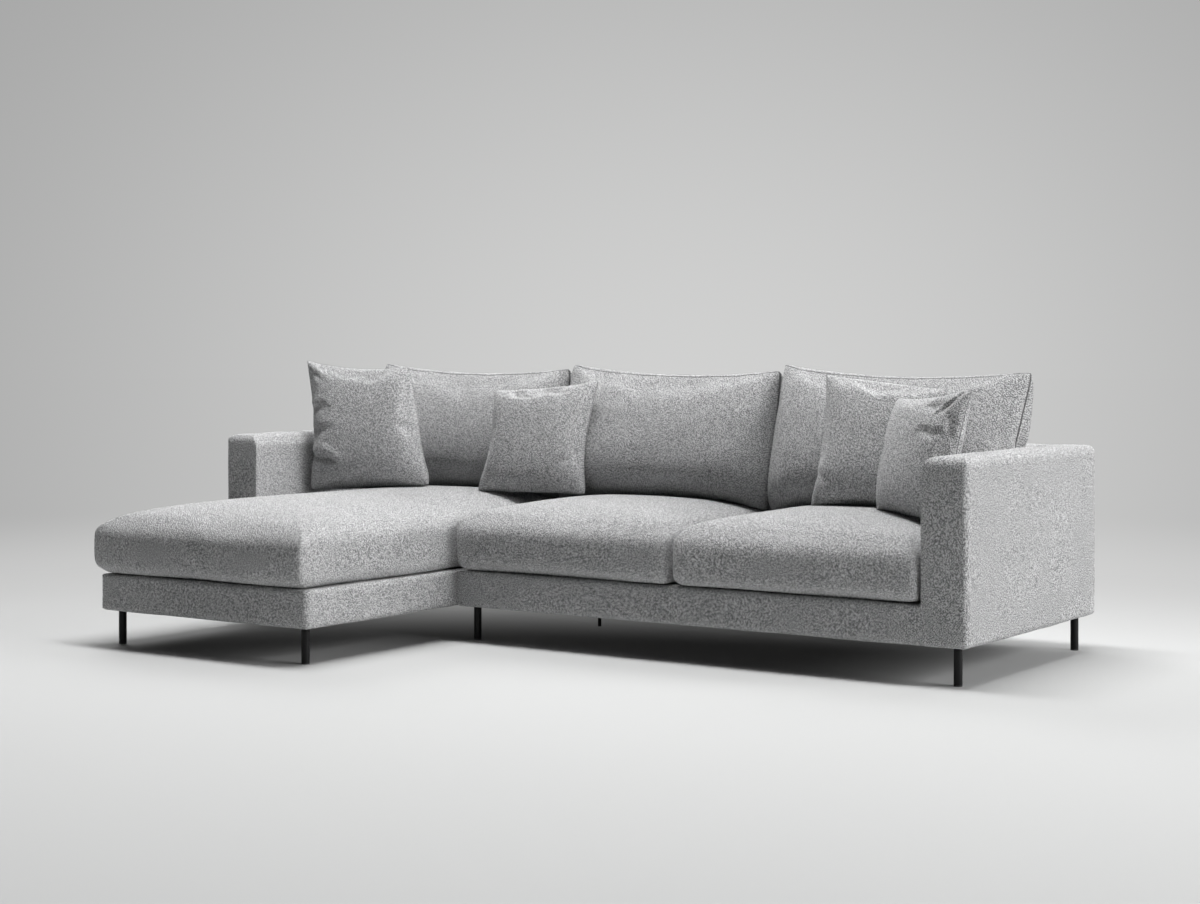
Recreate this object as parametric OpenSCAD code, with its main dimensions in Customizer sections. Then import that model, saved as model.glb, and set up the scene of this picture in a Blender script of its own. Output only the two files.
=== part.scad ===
// Corner sofa: a chaise module on the left, a two-seat module on the right,
// loose seat and back cushions and four scatter cushions.
// Millimetres, +Z up, front towards -Y, origin on the floor at the middle of
// the overall box. Modules are written in a layout frame whose X starts at the
// left arm's outer face and whose Y = 0 is the back, and place() moves them.

/* [Overall] */
// Overall width across both arms
overall_w = 2830; // [2600:10:3200]
// Depth of the two-seat module, back to front
sofa_d = 965; // [900:5:1050]
// Depth of the chaise, back to front
chaise_d = 1685; // [1500:5:1800]
// Width of the chaise seat between its arm and the two-seat module
chaise_w = 886; // [820:2:940]
// Height of the arms and the back above the floor
arm_h = 645; // [600:5:700]
// Thickness of each arm
arm_t = 142; // [120:2:180]
// Thickness of the back panels
back_t = 180; // [160:2:220]

/* [Base] */
// Height of the upholstered base's underside above the floor
floor_gap = 111; // [90:1:140]
// Height of the upholstered base
base_h = 115; // [100:1:140]
// Thickness of the timber boards
board_t = 22; // [18:1:26]
// Leg of the triangular corner blocks
block_leg = 90; // [70:2:110]
// Number of cross rails in each base
cross_rails = 2; // [1:1:3]
// How far the cross rails lie below the rails' tops
cross_drop = 30; // [20:1:40]

/* [Upholstery] */
// Thickness of the cover cloth with its backing
cloth_t = 3; // [2:0.5:4]
// Padding on the base rails, under the cover
base_pad = 8; // [6:1:10]
// Padding on the arms and backs, under the cover
panel_pad = 26; // [20:1:30]
// Rounding of the base's long edges
base_r = 18; // [12:1:20]
// Rounding of the arms' and backs' top and front edges
panel_r = 34; // [28:1:40]
// Rounding of the edges along which panels and bases meet
meeting_r = 6; // [3:1:10]
// Width of the cover's lip under the base and the panels
under_lip = 20; // [16:1:24]
// Width of the cover's lip over the base rails
top_lip = 46; // [40:1:54]
// Thickness of the dust cover under each base
dust_t = 1; // [1:0.5:2]

/* [Suspension] */
// Width of the elastic straps
strap_w = 60; // [40:2:70]
// Thickness of the elastic straps
strap_t = 2; // [1.5:0.5:3]
// Largest distance between strap centres
strap_pitch = 150; // [120:5:180]
// Length of each strap end on its rail
strap_lap = 18; // [12:1:20]

/* [Legs] */
// Diameter of the leg tubes
leg_d = 25; // [20:1:30]
// Wall of the leg tubes
leg_wall = 2; // [1.5:0.5:3]
// Distance of the leg axes from the sides of the part above them
leg_inset = 50; // [46:1:60]
// Diameter of the slim support leg
support_d = 12; // [10:1:16]
// Height of the plastic glides under the legs
glide_h = 4; // [3:0.5:6]
// Diameter of the studs that hold the legs
stud_d = 8; // [6:1:10]
// Length of the studs above the legs
stud_len = 20; // [16:1:22]

/* [Bolts] */
// Diameter of the joining bolts
bolt_d = 8; // [6:1:10]
// Height of the joining bolts above the base's underside
bolt_rise = 57; // [50:1:62]
// Thickness of the bolt heads and nuts
bolt_head_t = 6; // [5:0.5:8]

/* [Seat cushions] */
// Height of a seat cushion's border
seat_border_h = 172; // [150:2:200]
// Rise of the crown above the border
seat_crown = 54; // [30:1:64]
// How far the crown takes to rise, from the edge inwards
crown_reach = 380; // [300:10:400]
// How far a seat cushion's front stands proud of the base
seat_overhang = 14; // [6:1:20]
// How far the middle of the front border bulges beyond its corners
seat_bulge = 10; // [6:1:20]
// How far the top and bottom seams are drawn in along the sides
seat_draw = 7; // [4:1:12]
// Rounding of the cushions' corners in plan
seat_corner_r = 24; // [18:1:40]

/* [Back cushions] */
// Height of a back cushion along its lean
back_cushion_h = 450; // [400:2:480]
// How far a back cushion swells in front of its seam
back_front = 104; // [80:2:120]
// How far a back cushion swells behind its seam
back_rear = 112; // [80:2:120]
// Lean of the back cushions
back_lean = 12; // [8:0.5:15]
// Sag of the top seam between its corners
back_sag = 24; // [10:1:34]
// Draw-in of the side seams between their corners
back_draw = 16; // [8:1:24]
// Width of the flare of the end cushions over the arms
arm_flare = 34; // [0:2:44]

/* [Scatter cushions] */
// Size of the two large scatter cushions
large_scatter = 450; // [420:5:500]
// Size of the two small scatter cushions
small_scatter = 395; // [360:5:440]
// Swell of a scatter cushion on each side of its seam
scatter_swell = 62; // [46:2:70]
// Draw-in of a scatter cushion's seams between its ears
scatter_draw = 15; // [8:1:24]
// Draw-in of the lower seam, which its own weight presses flat
scatter_lift = 4; // [2:1:8]

/* [Fits] */
// Clearance between neighbouring pieces of cloth, padding and foam
soft_fit = 0.3; // [0.2:0.1:0.6]
// Clearance between neighbouring loose cushions
cushion_gap = 3; // [2:0.5:5]
// Clearance of a bolt or stud in its hole, on the diameter
hole_fit = 0.6; // [0.4:0.1:1]

/* [Hidden] */
$fn = 48;
base_top = floor_gap + base_h;
bolt_z = floor_gap + bolt_rise;
frame_z = floor_gap + cloth_t;
rail_top = base_top - cloth_t - base_pad;
skin_t = cloth_t + base_pad + soft_fit;
chaise_x0 = arm_t;
chaise_x1 = chaise_x0 + chaise_w;
sofa_x0 = chaise_x1;
sofa_x1 = overall_w - arm_t;
seat_w = (sofa_x1 - sofa_x0) / 2;
overall_d = chaise_d + seat_overhang + seat_bulge;
layout_y = overall_d / 2;
seat_back_gap = 1;
chaise_base_d = chaise_d - back_t;
sofa_base_d = sofa_d - back_t;
seat_back_y = -back_t - seat_back_gap;

// Padded panels: the frame's distance from the outer faces
pad_in = cloth_t + soft_fit;
frame_in = pad_in + panel_pad + soft_fit;
link_rail_h = 90;

// Base: inner faces of the rails, seat deck and straps
rail_in = skin_t + board_t;
rear_in = soft_fit + board_t;
rail_z1 = rail_top - strap_t - soft_fit;
rail_h = rail_z1 - frame_z;
strap_rise = strap_t + soft_fit;
strap_ramp = 14;
deck_z = rail_z1 + 2 * strap_rise;
deck_t = base_top - deck_z;
deck_r = 12;
corner_r = 18;
front_bolt_edge = 150;
rear_bolt_edge = 90;
side_bolt_y = [-sofa_d + front_bolt_edge, -(sofa_d + back_t) / 2, -back_t - rear_bolt_edge];
back_bolt_edge = 150;
wide_base = 1200;
bolt_head_d = bolt_d + 6;
bolt_tail = 3;
support_x = 194;
support_y = -420;
chaise_leg_xy = [
    [chaise_x0 + leg_inset, -chaise_d + leg_inset],
    [chaise_x1 - leg_inset, -chaise_d + leg_inset],
    [leg_inset, -leg_inset],
    [chaise_x1 - leg_inset, -leg_inset]
];
sofa_leg_xy = [
    [overall_w - leg_inset, -sofa_d + leg_inset],
    [overall_w - leg_inset, -leg_inset],
    [sofa_x0 + leg_inset, -sofa_d + leg_inset],
    [sofa_x0 + leg_inset, -leg_inset]
];
insert_d = stud_d + 5;
insert_h = stud_len - 2;
plug_h = 12;
top_cap_h = 3;

// Seat cushions: rings of [height share, inset, swell share] up the border
border_rings = [
    [0, 10, 0],
    [0.05, 4, 0.3],
    [0.16, 1, 0.65],
    [0.34, 0, 0.92],
    [0.52, 0, 1],
    [0.7, 1, 0.86],
    [0.85, 3, 0.55],
    [0.95, 9, 0.25],
    [1, 18, 0]
];
crown_start = border_rings[len(border_rings) - 1][1];
crown_steps = 5;
crown_power = 2.2;
crown_spacing = 1.4;
arc_steps = 4;
side_steps = 5;
core_in = 36;
core_edge_r = 10;
chaise_side_swell = 24;
swell_run = 480;

// Back cushions: their seam plane stands in front of the panel's top edge
back_cushion_w = (sofa_x1 - chaise_x0) / 3;
seam_stand_off = 55;
back_seam_top_y = -back_t - seam_stand_off;
back_rest = 0.611;
back_seat_z = rest_z(back_rest);
pillow_power = 0.42;
no_flat = 1000;
back_low_swell = 0.1;
back_grid = [16, 12];
scatter_grid = [12, 12];

// Height at which a leaning cushion rests, as a share of the seats' crown
function rest_z(share) = base_top + soft_fit + seat_border_h + share * seat_crown;

// Shared shapes

module place() translate([-overall_w / 2, layout_y, 0]) children();

// Rectangle with its own radius on each corner: low left, low right, up right, up left
module round_outline(w, h, r) {
    polygon([
        [r[0], 0],
        [w - r[1], 0],
        [w, r[1]],
        [w, h - r[2]],
        [w - r[2], h],
        [r[3], h],
        [0, h - r[3]],
        [0, r[0]]
    ]);
    translate([r[0], r[0]]) circle(r[0]);
    translate([w - r[1], r[1]]) circle(r[1]);
    translate([w - r[2], h - r[2]]) circle(r[2]);
    translate([r[3], h - r[3]]) circle(r[3]);
}

function even(r) = [r, r, r, r];
function shrink(radii, inset) = [for (r = radii) max(r - inset, 1)];

// Block with soft edges, cut from three crossed profiles: from above, the front and the side
module soft_block(size, plan, front, side) intersection() {
    linear_extrude(size.z) round_outline(size.x, size.y, plan);
    translate([0, size.y, 0]) rotate([90, 0, 0])
        linear_extrude(size.y) round_outline(size.x, size.z, front);
    rotate([90, 0, 90]) linear_extrude(size.x) round_outline(size.y, size.z, side);
}

module hole_x(d, x0, x1) translate([x0, 0, 0]) rotate([0, 90, 0]) cylinder(h = x1 - x0, d = d);

// Padded panels, in a frame of their own: X across, Y along, base side at +X. A panel
// with end_r = panel_r has free ends, and one with meeting_r stands between two others.

module panel_block(t, len, inset, end_r) {
    low_end_r = min(end_r, base_r);
    translate([inset, inset, floor_gap + inset]) soft_block(
        [t - 2 * inset, len - 2 * inset, arm_h - floor_gap - 2 * inset],
        shrink([end_r, meeting_r, meeting_r, end_r], inset),
        shrink([base_r, meeting_r, panel_r, panel_r], inset),
        shrink([low_end_r, low_end_r, end_r, end_r], inset)
    );
}

module panel_bores(t, bolts, d) {
    for (y = bolts) translate([0, y, bolt_z]) hole_x(d, t - frame_in - board_t - 1, t + 1);
}

module leg_bores(legs, d) {
    for (p = legs) translate([p.x, p.y, floor_gap - 1]) cylinder(h = stud_len + cloth_t + 2, d = d);
}

module panel_cover(t, len, end_r, bolts) difference() {
    panel_block(t, len, 0, end_r);
    panel_block(t, len, cloth_t, end_r);
    translate([under_lip, under_lip, floor_gap - 1])
        cube([t - 2 * under_lip, len - 2 * under_lip, cloth_t + 2]);
    panel_bores(t, bolts, bolt_d + hole_fit);
}

module panel_padding(t, len, end_r, bolts) difference() {
    panel_block(t, len, pad_in, end_r);
    translate([frame_in - soft_fit, frame_in - soft_fit, floor_gap])
        cube([
            t - 2 * (frame_in - soft_fit),
            len - 2 * (frame_in - soft_fit),
            arm_h - floor_gap - frame_in + soft_fit
        ]);
    panel_bores(t, bolts, bolt_d + hole_fit);
}

// Ladder frame of boards: two long boards, posts and the rail that takes the bolts
module panel_frame(t, len, bolts, legs, posts) difference() {
    fw = t - 2 * frame_in;
    fl = len - 2 * frame_in;
    fh = arm_h - frame_in - frame_z;
    union() {
        translate([frame_in, frame_in, frame_z]) {
            cube([fw, fl, board_t]);
            translate([0, 0, fh - board_t]) cube([fw, fl, board_t]);
            for (i = [0:posts - 1])
                translate([0, i * (fl - board_t) / (posts - 1), 0]) cube([fw, board_t, fh]);
            translate([fw - board_t, 0, 0]) cube([board_t, fl, link_rail_h]);
        }
    }
    panel_bores(t, bolts, bolt_d + hole_fit);
    leg_bores(legs, insert_d + hole_fit);
}

// Bolt across the joint plane X = 0, its head a inside the base, its nut b beyond
module joint_bolt(a, b) {
    hole_x(bolt_d, -a - 1, b + bolt_head_t + bolt_tail);
    hole_x(bolt_head_d, -a - bolt_head_t, -a);
}

module joint_nut(b) difference() {
    translate([b, 0, 0]) rotate([0, 90, 0]) cylinder(h = bolt_head_t, d = bolt_head_d + 2, $fn = 6);
    hole_x(bolt_d + hole_fit / 2, b - 1, b + bolt_head_t + 1);
}

// Upholstered bases, in a frame of their own: X and Y from the front left corner. side_r
// rounds the long edges at the two ends, and plan_r the front corners seen from above.

module base_block(w, d, side_r, plan_r) {
    translate([0, 0, floor_gap]) soft_block(
        [w, d, base_h],
        [plan_r, plan_r, meeting_r, meeting_r],
        even(side_r),
        [base_r, meeting_r, meeting_r, base_r]
    );
}

// The padded skin, open over the straps and under the frame
module base_skin(w, d, side_r, plan_r) difference() {
    base_block(w, d, side_r, plan_r);
    translate([skin_t - soft_fit, skin_t - soft_fit, frame_z])
        cube([w - 2 * (skin_t - soft_fit), d, rail_top - frame_z]);
    translate([top_lip, top_lip, rail_top - 1]) cube([w - 2 * top_lip, d, base_h]);
    translate([under_lip, under_lip, floor_gap - 1]) cube([w - 2 * under_lip, d, base_h / 2]);
}

// Wedge of the skin's front panel, mitred at both corners
module mitre_wedge(w, reach) {
    translate([0, 0, floor_gap - 1]) linear_extrude(base_h + 2)
        polygon([[0, 0], [w, 0], [w - reach, reach], [reach, reach]]);
}

module side_bores(w, y0) {
    for (y = side_bolt_y) translate([0, y - y0, bolt_z]) {
        hole_x(bolt_d + hole_fit, -1, rail_in + 1);
        hole_x(bolt_d + hole_fit, w - rail_in - 1, w + 1);
    }
}

function back_bolt_x(w) = w > wide_base
    ? [back_bolt_edge, w / 2 - back_bolt_edge, w / 2 + back_bolt_edge, w - back_bolt_edge]
    : [back_bolt_edge, w - back_bolt_edge];

module back_bores(w, d) {
    for (x = back_bolt_x(w))
        translate([x, d + 1, bolt_z]) rotate([90, 0, 0]) cylinder(h = rear_in + 2, d = bolt_d + hole_fit);
}

module front_cover(w, d, side_r, plan_r) intersection() {
    base_skin(w, d, side_r, plan_r);
    mitre_wedge(w, top_lip + 1);
}

module side_covers(w, d, y0, side_r, plan_r) difference() {
    intersection() {
        base_skin(w, d, side_r, plan_r);
        translate([0, 0, floor_gap - 1]) linear_extrude(base_h + 2) {
            polygon([[0, 0], [top_lip + 1, top_lip + 1], [top_lip + 1, d], [0, d]]);
            polygon([[w, 0], [w, d], [w - top_lip - 1, d], [w - top_lip - 1, top_lip + 1]]);
        }
    }
    side_bores(w, y0);
}

module side_rails(w, d, y0) difference() {
    for (x = [skin_t, w - rail_in])
        translate([x, skin_t, frame_z]) cube([board_t, d - skin_t - soft_fit, rail_h]);
    side_bores(w, y0);
}

module end_rails(w, d) difference() {
    for (y = [skin_t, d - rear_in])
        translate([rail_in, y, frame_z]) cube([w - 2 * rail_in, board_t, rail_h]);
    back_bores(w, d);
}

module corner_blocks(w, d, legs) difference() {
    for (mx = [0, 1], my = [0, 1])
        translate([mx * w, my * d, frame_z]) mirror([mx, 0, 0]) mirror([0, my, 0])
            translate([rail_in, my == 0 ? rail_in : rear_in, 0]) linear_extrude(board_t)
                polygon([[0, 0], [block_leg, 0], [0, block_leg]]);
    leg_bores(legs, insert_d + hole_fit);
}

// One strap along X from rail to rail; it climbs over the crossings listed in highs
module strap(span, highs) {
    hw = strap_w / 2 + 1;
    steps = [for (c = highs) each [
        [c - hw - strap_ramp, 0],
        [c - hw, strap_rise],
        [c + hw, strap_rise],
        [c + hw + strap_ramp, 0]
    ]];
    low = concat([[-strap_lap, 0]], steps, [[span + strap_lap, 0]]);
    high = [for (i = [len(low) - 1:-1:0]) low[i] + [0, strap_t]];
    translate([0, strap_w / 2, 0]) rotate([90, 0, 0]) linear_extrude(strap_w) polygon(concat(low, high));
}

function strap_count(span) = ceil(span / strap_pitch);
function strap_at(span, i) = (i + 0.5) * span / strap_count(span);

// Straps along X; they go over where the sum of the two counts is even
module cross_straps(w, d) {
    sx = w - 2 * rail_in;
    sy = d - rail_in - rear_in;
    for (j = [0:strap_count(sy) - 1])
        translate([rail_in, rail_in + strap_at(sy, j), rail_z1])
            strap(sx, [for (i = [0:strap_count(sx) - 1]) if ((i + j) % 2 == 0) strap_at(sx, i)]);
}

// Straps along Y; they go over at the other crossings
module long_straps(w, d) {
    sx = w - 2 * rail_in;
    sy = d - rail_in - rear_in;
    for (i = [0:strap_count(sx) - 1])
        translate([rail_in + strap_at(sx, i), rail_in, rail_z1]) rotate([0, 0, 90])
            strap(sy, [for (j = [0:strap_count(sy) - 1]) if ((i + j) % 2 == 1) strap_at(sy, j)]);
}

module deck(w, d) {
    edge = top_lip + soft_fit;
    translate([edge, edge, deck_z]) linear_extrude(deck_t)
        round_outline(w - 2 * edge, d - edge - soft_fit, even(deck_r));
}

module dust_cover(w, d, legs) difference() {
    edge = under_lip + soft_fit;
    translate([edge, edge, frame_z - dust_t]) cube([w - 2 * edge, d - edge - soft_fit, dust_t]);
    leg_bores(legs, leg_d + 2 * hole_fit);
}

// Seat cushions

function corner_arc(w, d, r, q) = let (
    cx = (q == 0 || q == 3 ? 1 : -1) * (w / 2 - r),
    cy = (q < 2 ? 1 : -1) * (d / 2 - r)
) [for (k = [0:arc_steps]) let (a = 90 * (q + k / arc_steps)) [cx + r * cos(a), cy + r * sin(a)]];

function side_run(a, b) = [for (k = [1:side_steps]) a + (b - a) * k / (side_steps + 1)];

function cushion_outline(w, d, r) = [for (q = [0:3]) let (
    arc = corner_arc(w, d, r, q),
    next = corner_arc(w, d, r, (q + 1) % 4)
) each concat(arc, side_run(arc[arc_steps], next[0]))];

// Seams are drawn in along the sides and the front border swells between them
function cushion_warp(p, w, d, swell, side) = let (
    draw = -seat_draw * (1 - swell),
    fy = p.y < 0 ? draw + seat_bulge * swell : draw,
    reach = max(0, min(1, (side[1] - p.y) / swell_run)),
    extra = p.x < 0 ? side[0] * swell * reach : 0,
    x = p.x * (1 + 2 * (draw * (1 - pow(2 * p.y / d, 2)) + extra) / w),
    y = p.y * (1 + 2 * fy * (1 - pow(2 * p.x / w, 2)) / d)
) [x, y];

function cushion_ring(w, d, inset, z, swell, side) = [
    for (p = cushion_outline(w - 2 * inset, d - 2 * inset, max(seat_corner_r - inset / 2, 10)))
        let (q = cushion_warp(p, w, d, swell, side)) [q.x, q.y, z]
];

function crown_z(share) = seat_border_h + seat_crown * (1 - pow(1 - share, crown_power));

// side = [extra swell of the left border, the local Y in front of which it starts]
module cushion_form(w, d, side) {
    crown_rings = [for (k = [1:crown_steps]) let (s = pow(k / crown_steps, crown_spacing))
        cushion_ring(w, d, crown_start + s * (crown_reach - crown_start), crown_z(s), 0, side)];
    rings = concat(
        [for (b = border_rings) cushion_ring(w, d, b[1], b[0] * seat_border_h, b[2], side)],
        crown_rings
    );
    n = len(rings[0]);
    last = len(rings) - 1;
    points = concat([for (r = rings) each r], [[0, 0, 0], [0, 0, seat_border_h + seat_crown]]);
    walls = [for (i = [0:last - 1], j = [0:n - 1]) let (k = (j + 1) % n) each [
        [i * n + j, (i + 1) * n + j, (i + 1) * n + k],
        [i * n + j, (i + 1) * n + k, i * n + k]
    ]];
    under = [for (j = [0:n - 1]) [n * (last + 1), j, (j + 1) % n]];
    over = [for (j = [0:n - 1]) [n * (last + 1) + 1, last * n + (j + 1) % n, last * n + j]];
    polyhedron(points = points, faces = concat(walls, under, over), convexity = 4);
}

module core_room(w, d, grow) {
    translate([core_in - w / 2 - grow, core_in - d / 2 - grow, core_in / 2 - grow])
        cube([w - 2 * core_in + 2 * grow, d - 2 * core_in + 2 * grow, seat_border_h - core_in + 2 * grow]);
}

// x0 and x1 bound the cushion's bay, y0 and y1 its front and back
module seat_cushion(x0, x1, y0, y1, side) {
    translate([(x0 + x1) / 2, (y0 + y1) / 2, base_top + soft_fit]) difference() {
        cushion_form(x1 - x0 - cushion_gap, y1 - y0, side);
        core_room(x1 - x0 - cushion_gap, y1 - y0, soft_fit);
    }
}

module seat_core(x0, x1, y0, y1) {
    w = x1 - x0 - cushion_gap - 2 * core_in;
    d = y1 - y0 - 2 * core_in;
    h = seat_border_h - core_in;
    translate([(x0 + x1 - w) / 2, (y0 + y1 - d) / 2, base_top + soft_fit + core_in / 2])
        soft_block([w, d, h], even(core_edge_r), even(core_edge_r), even(core_edge_r));
}

// Pillows: two swollen faces that share a knife-edge seam

function spread(i, n) = sin(180 * i / n - 90);

// The seam lies in the plane Y = 0, its lower edge on Z = 0. draw, sag and lift pull in
// the side, top and bottom seams, low moves the swell down, flat stops the rear face,
// and the flares widen the upper corners above flare_z.
module pillow(
    w, h, front, rear, draw, sag, lift = 0, low = 0, flat = no_flat, flare_l = 0, flare_r = 0,
    flare_z = 0, grid = [12, 12]
) {
    n = grid.x;
    m = grid.y;
    function swell(a, b) = pow(max(0, (1 - a * a) * (1 - b * b)), pillow_power) * (1 - low * b);
    function height(a, b) = h / 2 * (1 + b) - (b > 0 ? sag : lift) * b * (1 - a * a);
    function rise(z) = max(0, min(1, (z - flare_z) / (h - flare_z)));
    function across(a, b) = w / 2 * a - draw * a * (1 - b * b)
        + (a < 0 ? -flare_l : flare_r) * a * a * rise(height(a, b));
    function front_point(a, b) = [across(a, b), -front * swell(a, b), height(a, b)];
    function rear_point(a, b) = [across(a, b), min(rear * swell(a, b), flat), height(a, b)];
    front_points = [for (i = [0:n], j = [0:m]) front_point(spread(i, n), spread(j, m))];
    rear_points = [for (i = [1:n - 1], j = [1:m - 1]) rear_point(spread(i, n), spread(j, m))];
    function f(i, j) = i * (m + 1) + j;
    function r(i, j) = i == 0 || j == 0 || i == n || j == m
        ? f(i, j)
        : len(front_points) + (i - 1) * (m - 1) + j - 1;
    function rising(i, j) = (i < n / 2) == (j < m / 2);
    front_faces = [for (i = [0:n - 1], j = [0:m - 1]) each rising(i, j)
        ? [[f(i, j), f(i, j + 1), f(i + 1, j + 1)], [f(i, j), f(i + 1, j + 1), f(i + 1, j)]]
        : [[f(i, j), f(i, j + 1), f(i + 1, j)], [f(i, j + 1), f(i + 1, j + 1), f(i + 1, j)]]];
    rear_faces = [for (i = [0:n - 1], j = [0:m - 1]) each rising(i, j)
        ? [[r(i, j), r(i + 1, j + 1), r(i, j + 1)], [r(i, j), r(i + 1, j), r(i + 1, j + 1)]]
        : [[r(i, j), r(i + 1, j), r(i, j + 1)], [r(i, j + 1), r(i + 1, j), r(i + 1, j + 1)]]];
    polyhedron(
        points = concat(front_points, rear_points),
        faces = concat(front_faces, rear_faces),
        convexity = 4
    );
}

// Back cushions

back_foot_y = back_seam_top_y - back_cushion_h * sin(back_lean);
back_edge_y = -back_t + panel_r;
back_w = back_cushion_w - cushion_gap;
filling_in = [110, 74];
filling_t = 84;
flare_rise = 14;
flare_from = (arm_h + flare_rise - back_seat_z) / cos(back_lean);

// The rear face is flat where it leans on the rounded top edge of the back panel
back_flat = (back_edge_y - back_foot_y) * cos(back_lean)
    - (arm_h - panel_r - back_seat_z) * sin(back_lean) - panel_r - soft_fit;

module back_at(k) {
    translate([chaise_x0 + (k + 0.5) * back_cushion_w, back_foot_y, back_seat_z])
        rotate([-back_lean, 0, 0]) children();
}

module filling_room(grow) {
    fw = back_w - 2 * filling_in.x;
    fh = back_cushion_h - 2 * filling_in.y;
    translate([-fw / 2 - grow, -filling_t / 2 - grow, filling_in.y - grow])
        cube([fw + 2 * grow, filling_t + 2 * grow, fh + 2 * grow]);
}

module back_cushion(k, flare_l, flare_r) {
    back_at(k) difference() {
        pillow(
            back_w, back_cushion_h, back_front, back_rear, back_draw, back_sag, low = back_low_swell,
            flat = back_flat, flare_l = flare_l, flare_r = flare_r, flare_z = flare_from,
            grid = back_grid
        );
        filling_room(soft_fit);
    }
}

module back_filling(k) {
    fw = back_w - 2 * filling_in.x;
    fh = back_cushion_h - 2 * filling_in.y;
    back_at(k) translate([-fw / 2, -filling_t / 2, filling_in.y])
        soft_block([fw, filling_t, fh], even(core_edge_r), even(core_edge_r), even(core_edge_r));
}

// Scatter cushions: [middle of the lower seam X, Y, Z, lean, turn, roll]
leaning_y = back_foot_y - back_front - scatter_swell;
large_left_forward = 137;
small_middle_forward = 9;
large_right_forward = 5;
small_right_forward = 49;
large_left_at = [chaise_x0 + 0.509 * large_scatter, leaning_y - large_left_forward, rest_z(0.83), 4, 15, -3];
small_middle_at = [chaise_x1 - 25, leaning_y - small_middle_forward, rest_z(0.885), 13, 10, -1];
large_right_at = [sofa_x1 - 0.831 * large_scatter, leaning_y - large_right_forward, rest_z(0.929), 12, 2, 0];
small_right_at = [
    sofa_x1 - 0.468 * small_scatter,
    leaning_y - 2 * scatter_swell - small_right_forward,
    rest_z(1.117),
    13,
    -29,
    -2
];

module scatter(size, at) {
    translate([at[0], at[1], at[2]]) rotate([0, 0, at[4]]) rotate([-at[3], 0, 0])
        rotate([0, at[5], 0]) pillow(
            size, size, scatter_swell, scatter_swell, scatter_draw, scatter_draw,
            lift = scatter_lift, grid = scatter_grid
        );
}

// Legs

module stud_leg(d, bore) {
    difference() {
        translate([0, 0, glide_h]) cylinder(h = frame_z - glide_h, d = d);
        if (bore > 0)
            translate([0, 0, glide_h - 1]) cylinder(h = frame_z - glide_h - top_cap_h + 1, d = bore);
    }
    translate([0, 0, frame_z - 1]) cylinder(h = stud_len + 1, d = stud_d);
}

module legs_at(points) {
    for (p = points) translate([p.x, p.y, 0]) stud_leg(leg_d, leg_d - 2 * leg_wall);
}

module insert_at(p) difference() {
    translate([p.x, p.y, frame_z]) cylinder(h = insert_h, d = insert_d);
    translate([p.x, p.y, frame_z - 1]) cylinder(h = insert_h + 2, d = stud_d + hole_fit / 2);
}

// Placed parts

module at_chaise_base() translate([chaise_x0, -chaise_d, 0]) children();
module at_sofa_base() translate([sofa_x0, -sofa_d, 0]) children();
module at_left_arm() translate([0, -sofa_d, 0]) children();
module at_right_arm() translate([overall_w, -sofa_d, 0]) mirror([1, 0, 0]) children();
module at_chaise_back() translate([chaise_x0, 0, 0]) rotate([0, 0, -90]) children();
module at_sofa_back() translate([sofa_x0, 0, 0]) rotate([0, 0, -90]) children();

sofa_w = sofa_x1 - sofa_x0;
arm_bolts = [for (y = side_bolt_y) y + sofa_d];
chaise_base_legs = [[leg_inset, leg_inset], [chaise_w - leg_inset, leg_inset]];
sofa_base_legs = [[leg_inset, leg_inset]];
support_at = [support_x, sofa_d + support_y];
left_arm_legs = [[leg_inset, sofa_d - leg_inset]];
right_arm_legs = [[leg_inset, leg_inset], [leg_inset, sofa_d - leg_inset]];
chaise_back_legs = [[leg_inset, chaise_w - leg_inset]];
sofa_back_legs = [[leg_inset, leg_inset]];

module chaise_side_rails() color("burlywood") place() at_chaise_base()
    side_rails(chaise_w, chaise_base_d, -chaise_d);

module chaise_end_rails() color("burlywood") place() at_chaise_base()
    end_rails(chaise_w, chaise_base_d);

module chaise_cross_rails() color("burlywood") place() at_chaise_base()
    for (i = [1:cross_rails])
        translate([rail_in, i * chaise_base_d / (cross_rails + 1) - board_t / 2, frame_z])
            cube([chaise_w - 2 * rail_in, board_t, rail_h - cross_drop]);

module chaise_corner_blocks() color("tan") place() at_chaise_base()
    corner_blocks(chaise_w, chaise_base_d, chaise_base_legs);

module chaise_long_straps() color("dimgray") place() at_chaise_base()
    long_straps(chaise_w, chaise_base_d);

module chaise_cross_straps() color("gray") place() at_chaise_base()
    cross_straps(chaise_w, chaise_base_d);

module chaise_deck() color("lightgray") place() at_chaise_base()
    deck(chaise_w, chaise_base_d);

module chaise_front_cover() color("darkgray") place() at_chaise_base()
    front_cover(chaise_w, chaise_base_d, base_r, corner_r);

module chaise_side_covers() color("darkgray") place() at_chaise_base()
    side_covers(chaise_w, chaise_base_d, -chaise_d, base_r, corner_r);

module chaise_dust_cover() color("black") place() at_chaise_base()
    dust_cover(chaise_w, chaise_base_d, chaise_base_legs);

module chaise_back_frame() color("burlywood") place() at_chaise_back()
    panel_frame(back_t, chaise_w, back_bolt_x(chaise_w), chaise_back_legs, 3);

module chaise_back_pad() color("wheat") place() at_chaise_back()
    panel_padding(back_t, chaise_w, meeting_r, back_bolt_x(chaise_w));

module chaise_back_cover() color("darkgray") place() at_chaise_back()
    panel_cover(back_t, chaise_w, meeting_r, back_bolt_x(chaise_w));

module left_arm_frame() color("burlywood") place() at_left_arm()
    panel_frame(arm_t, sofa_d, arm_bolts, left_arm_legs, 3);

module left_arm_pad() color("wheat") place() at_left_arm()
    panel_padding(arm_t, sofa_d, panel_r, arm_bolts);

module left_arm_cover() color("darkgray") place() at_left_arm()
    panel_cover(arm_t, sofa_d, panel_r, arm_bolts);

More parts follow.
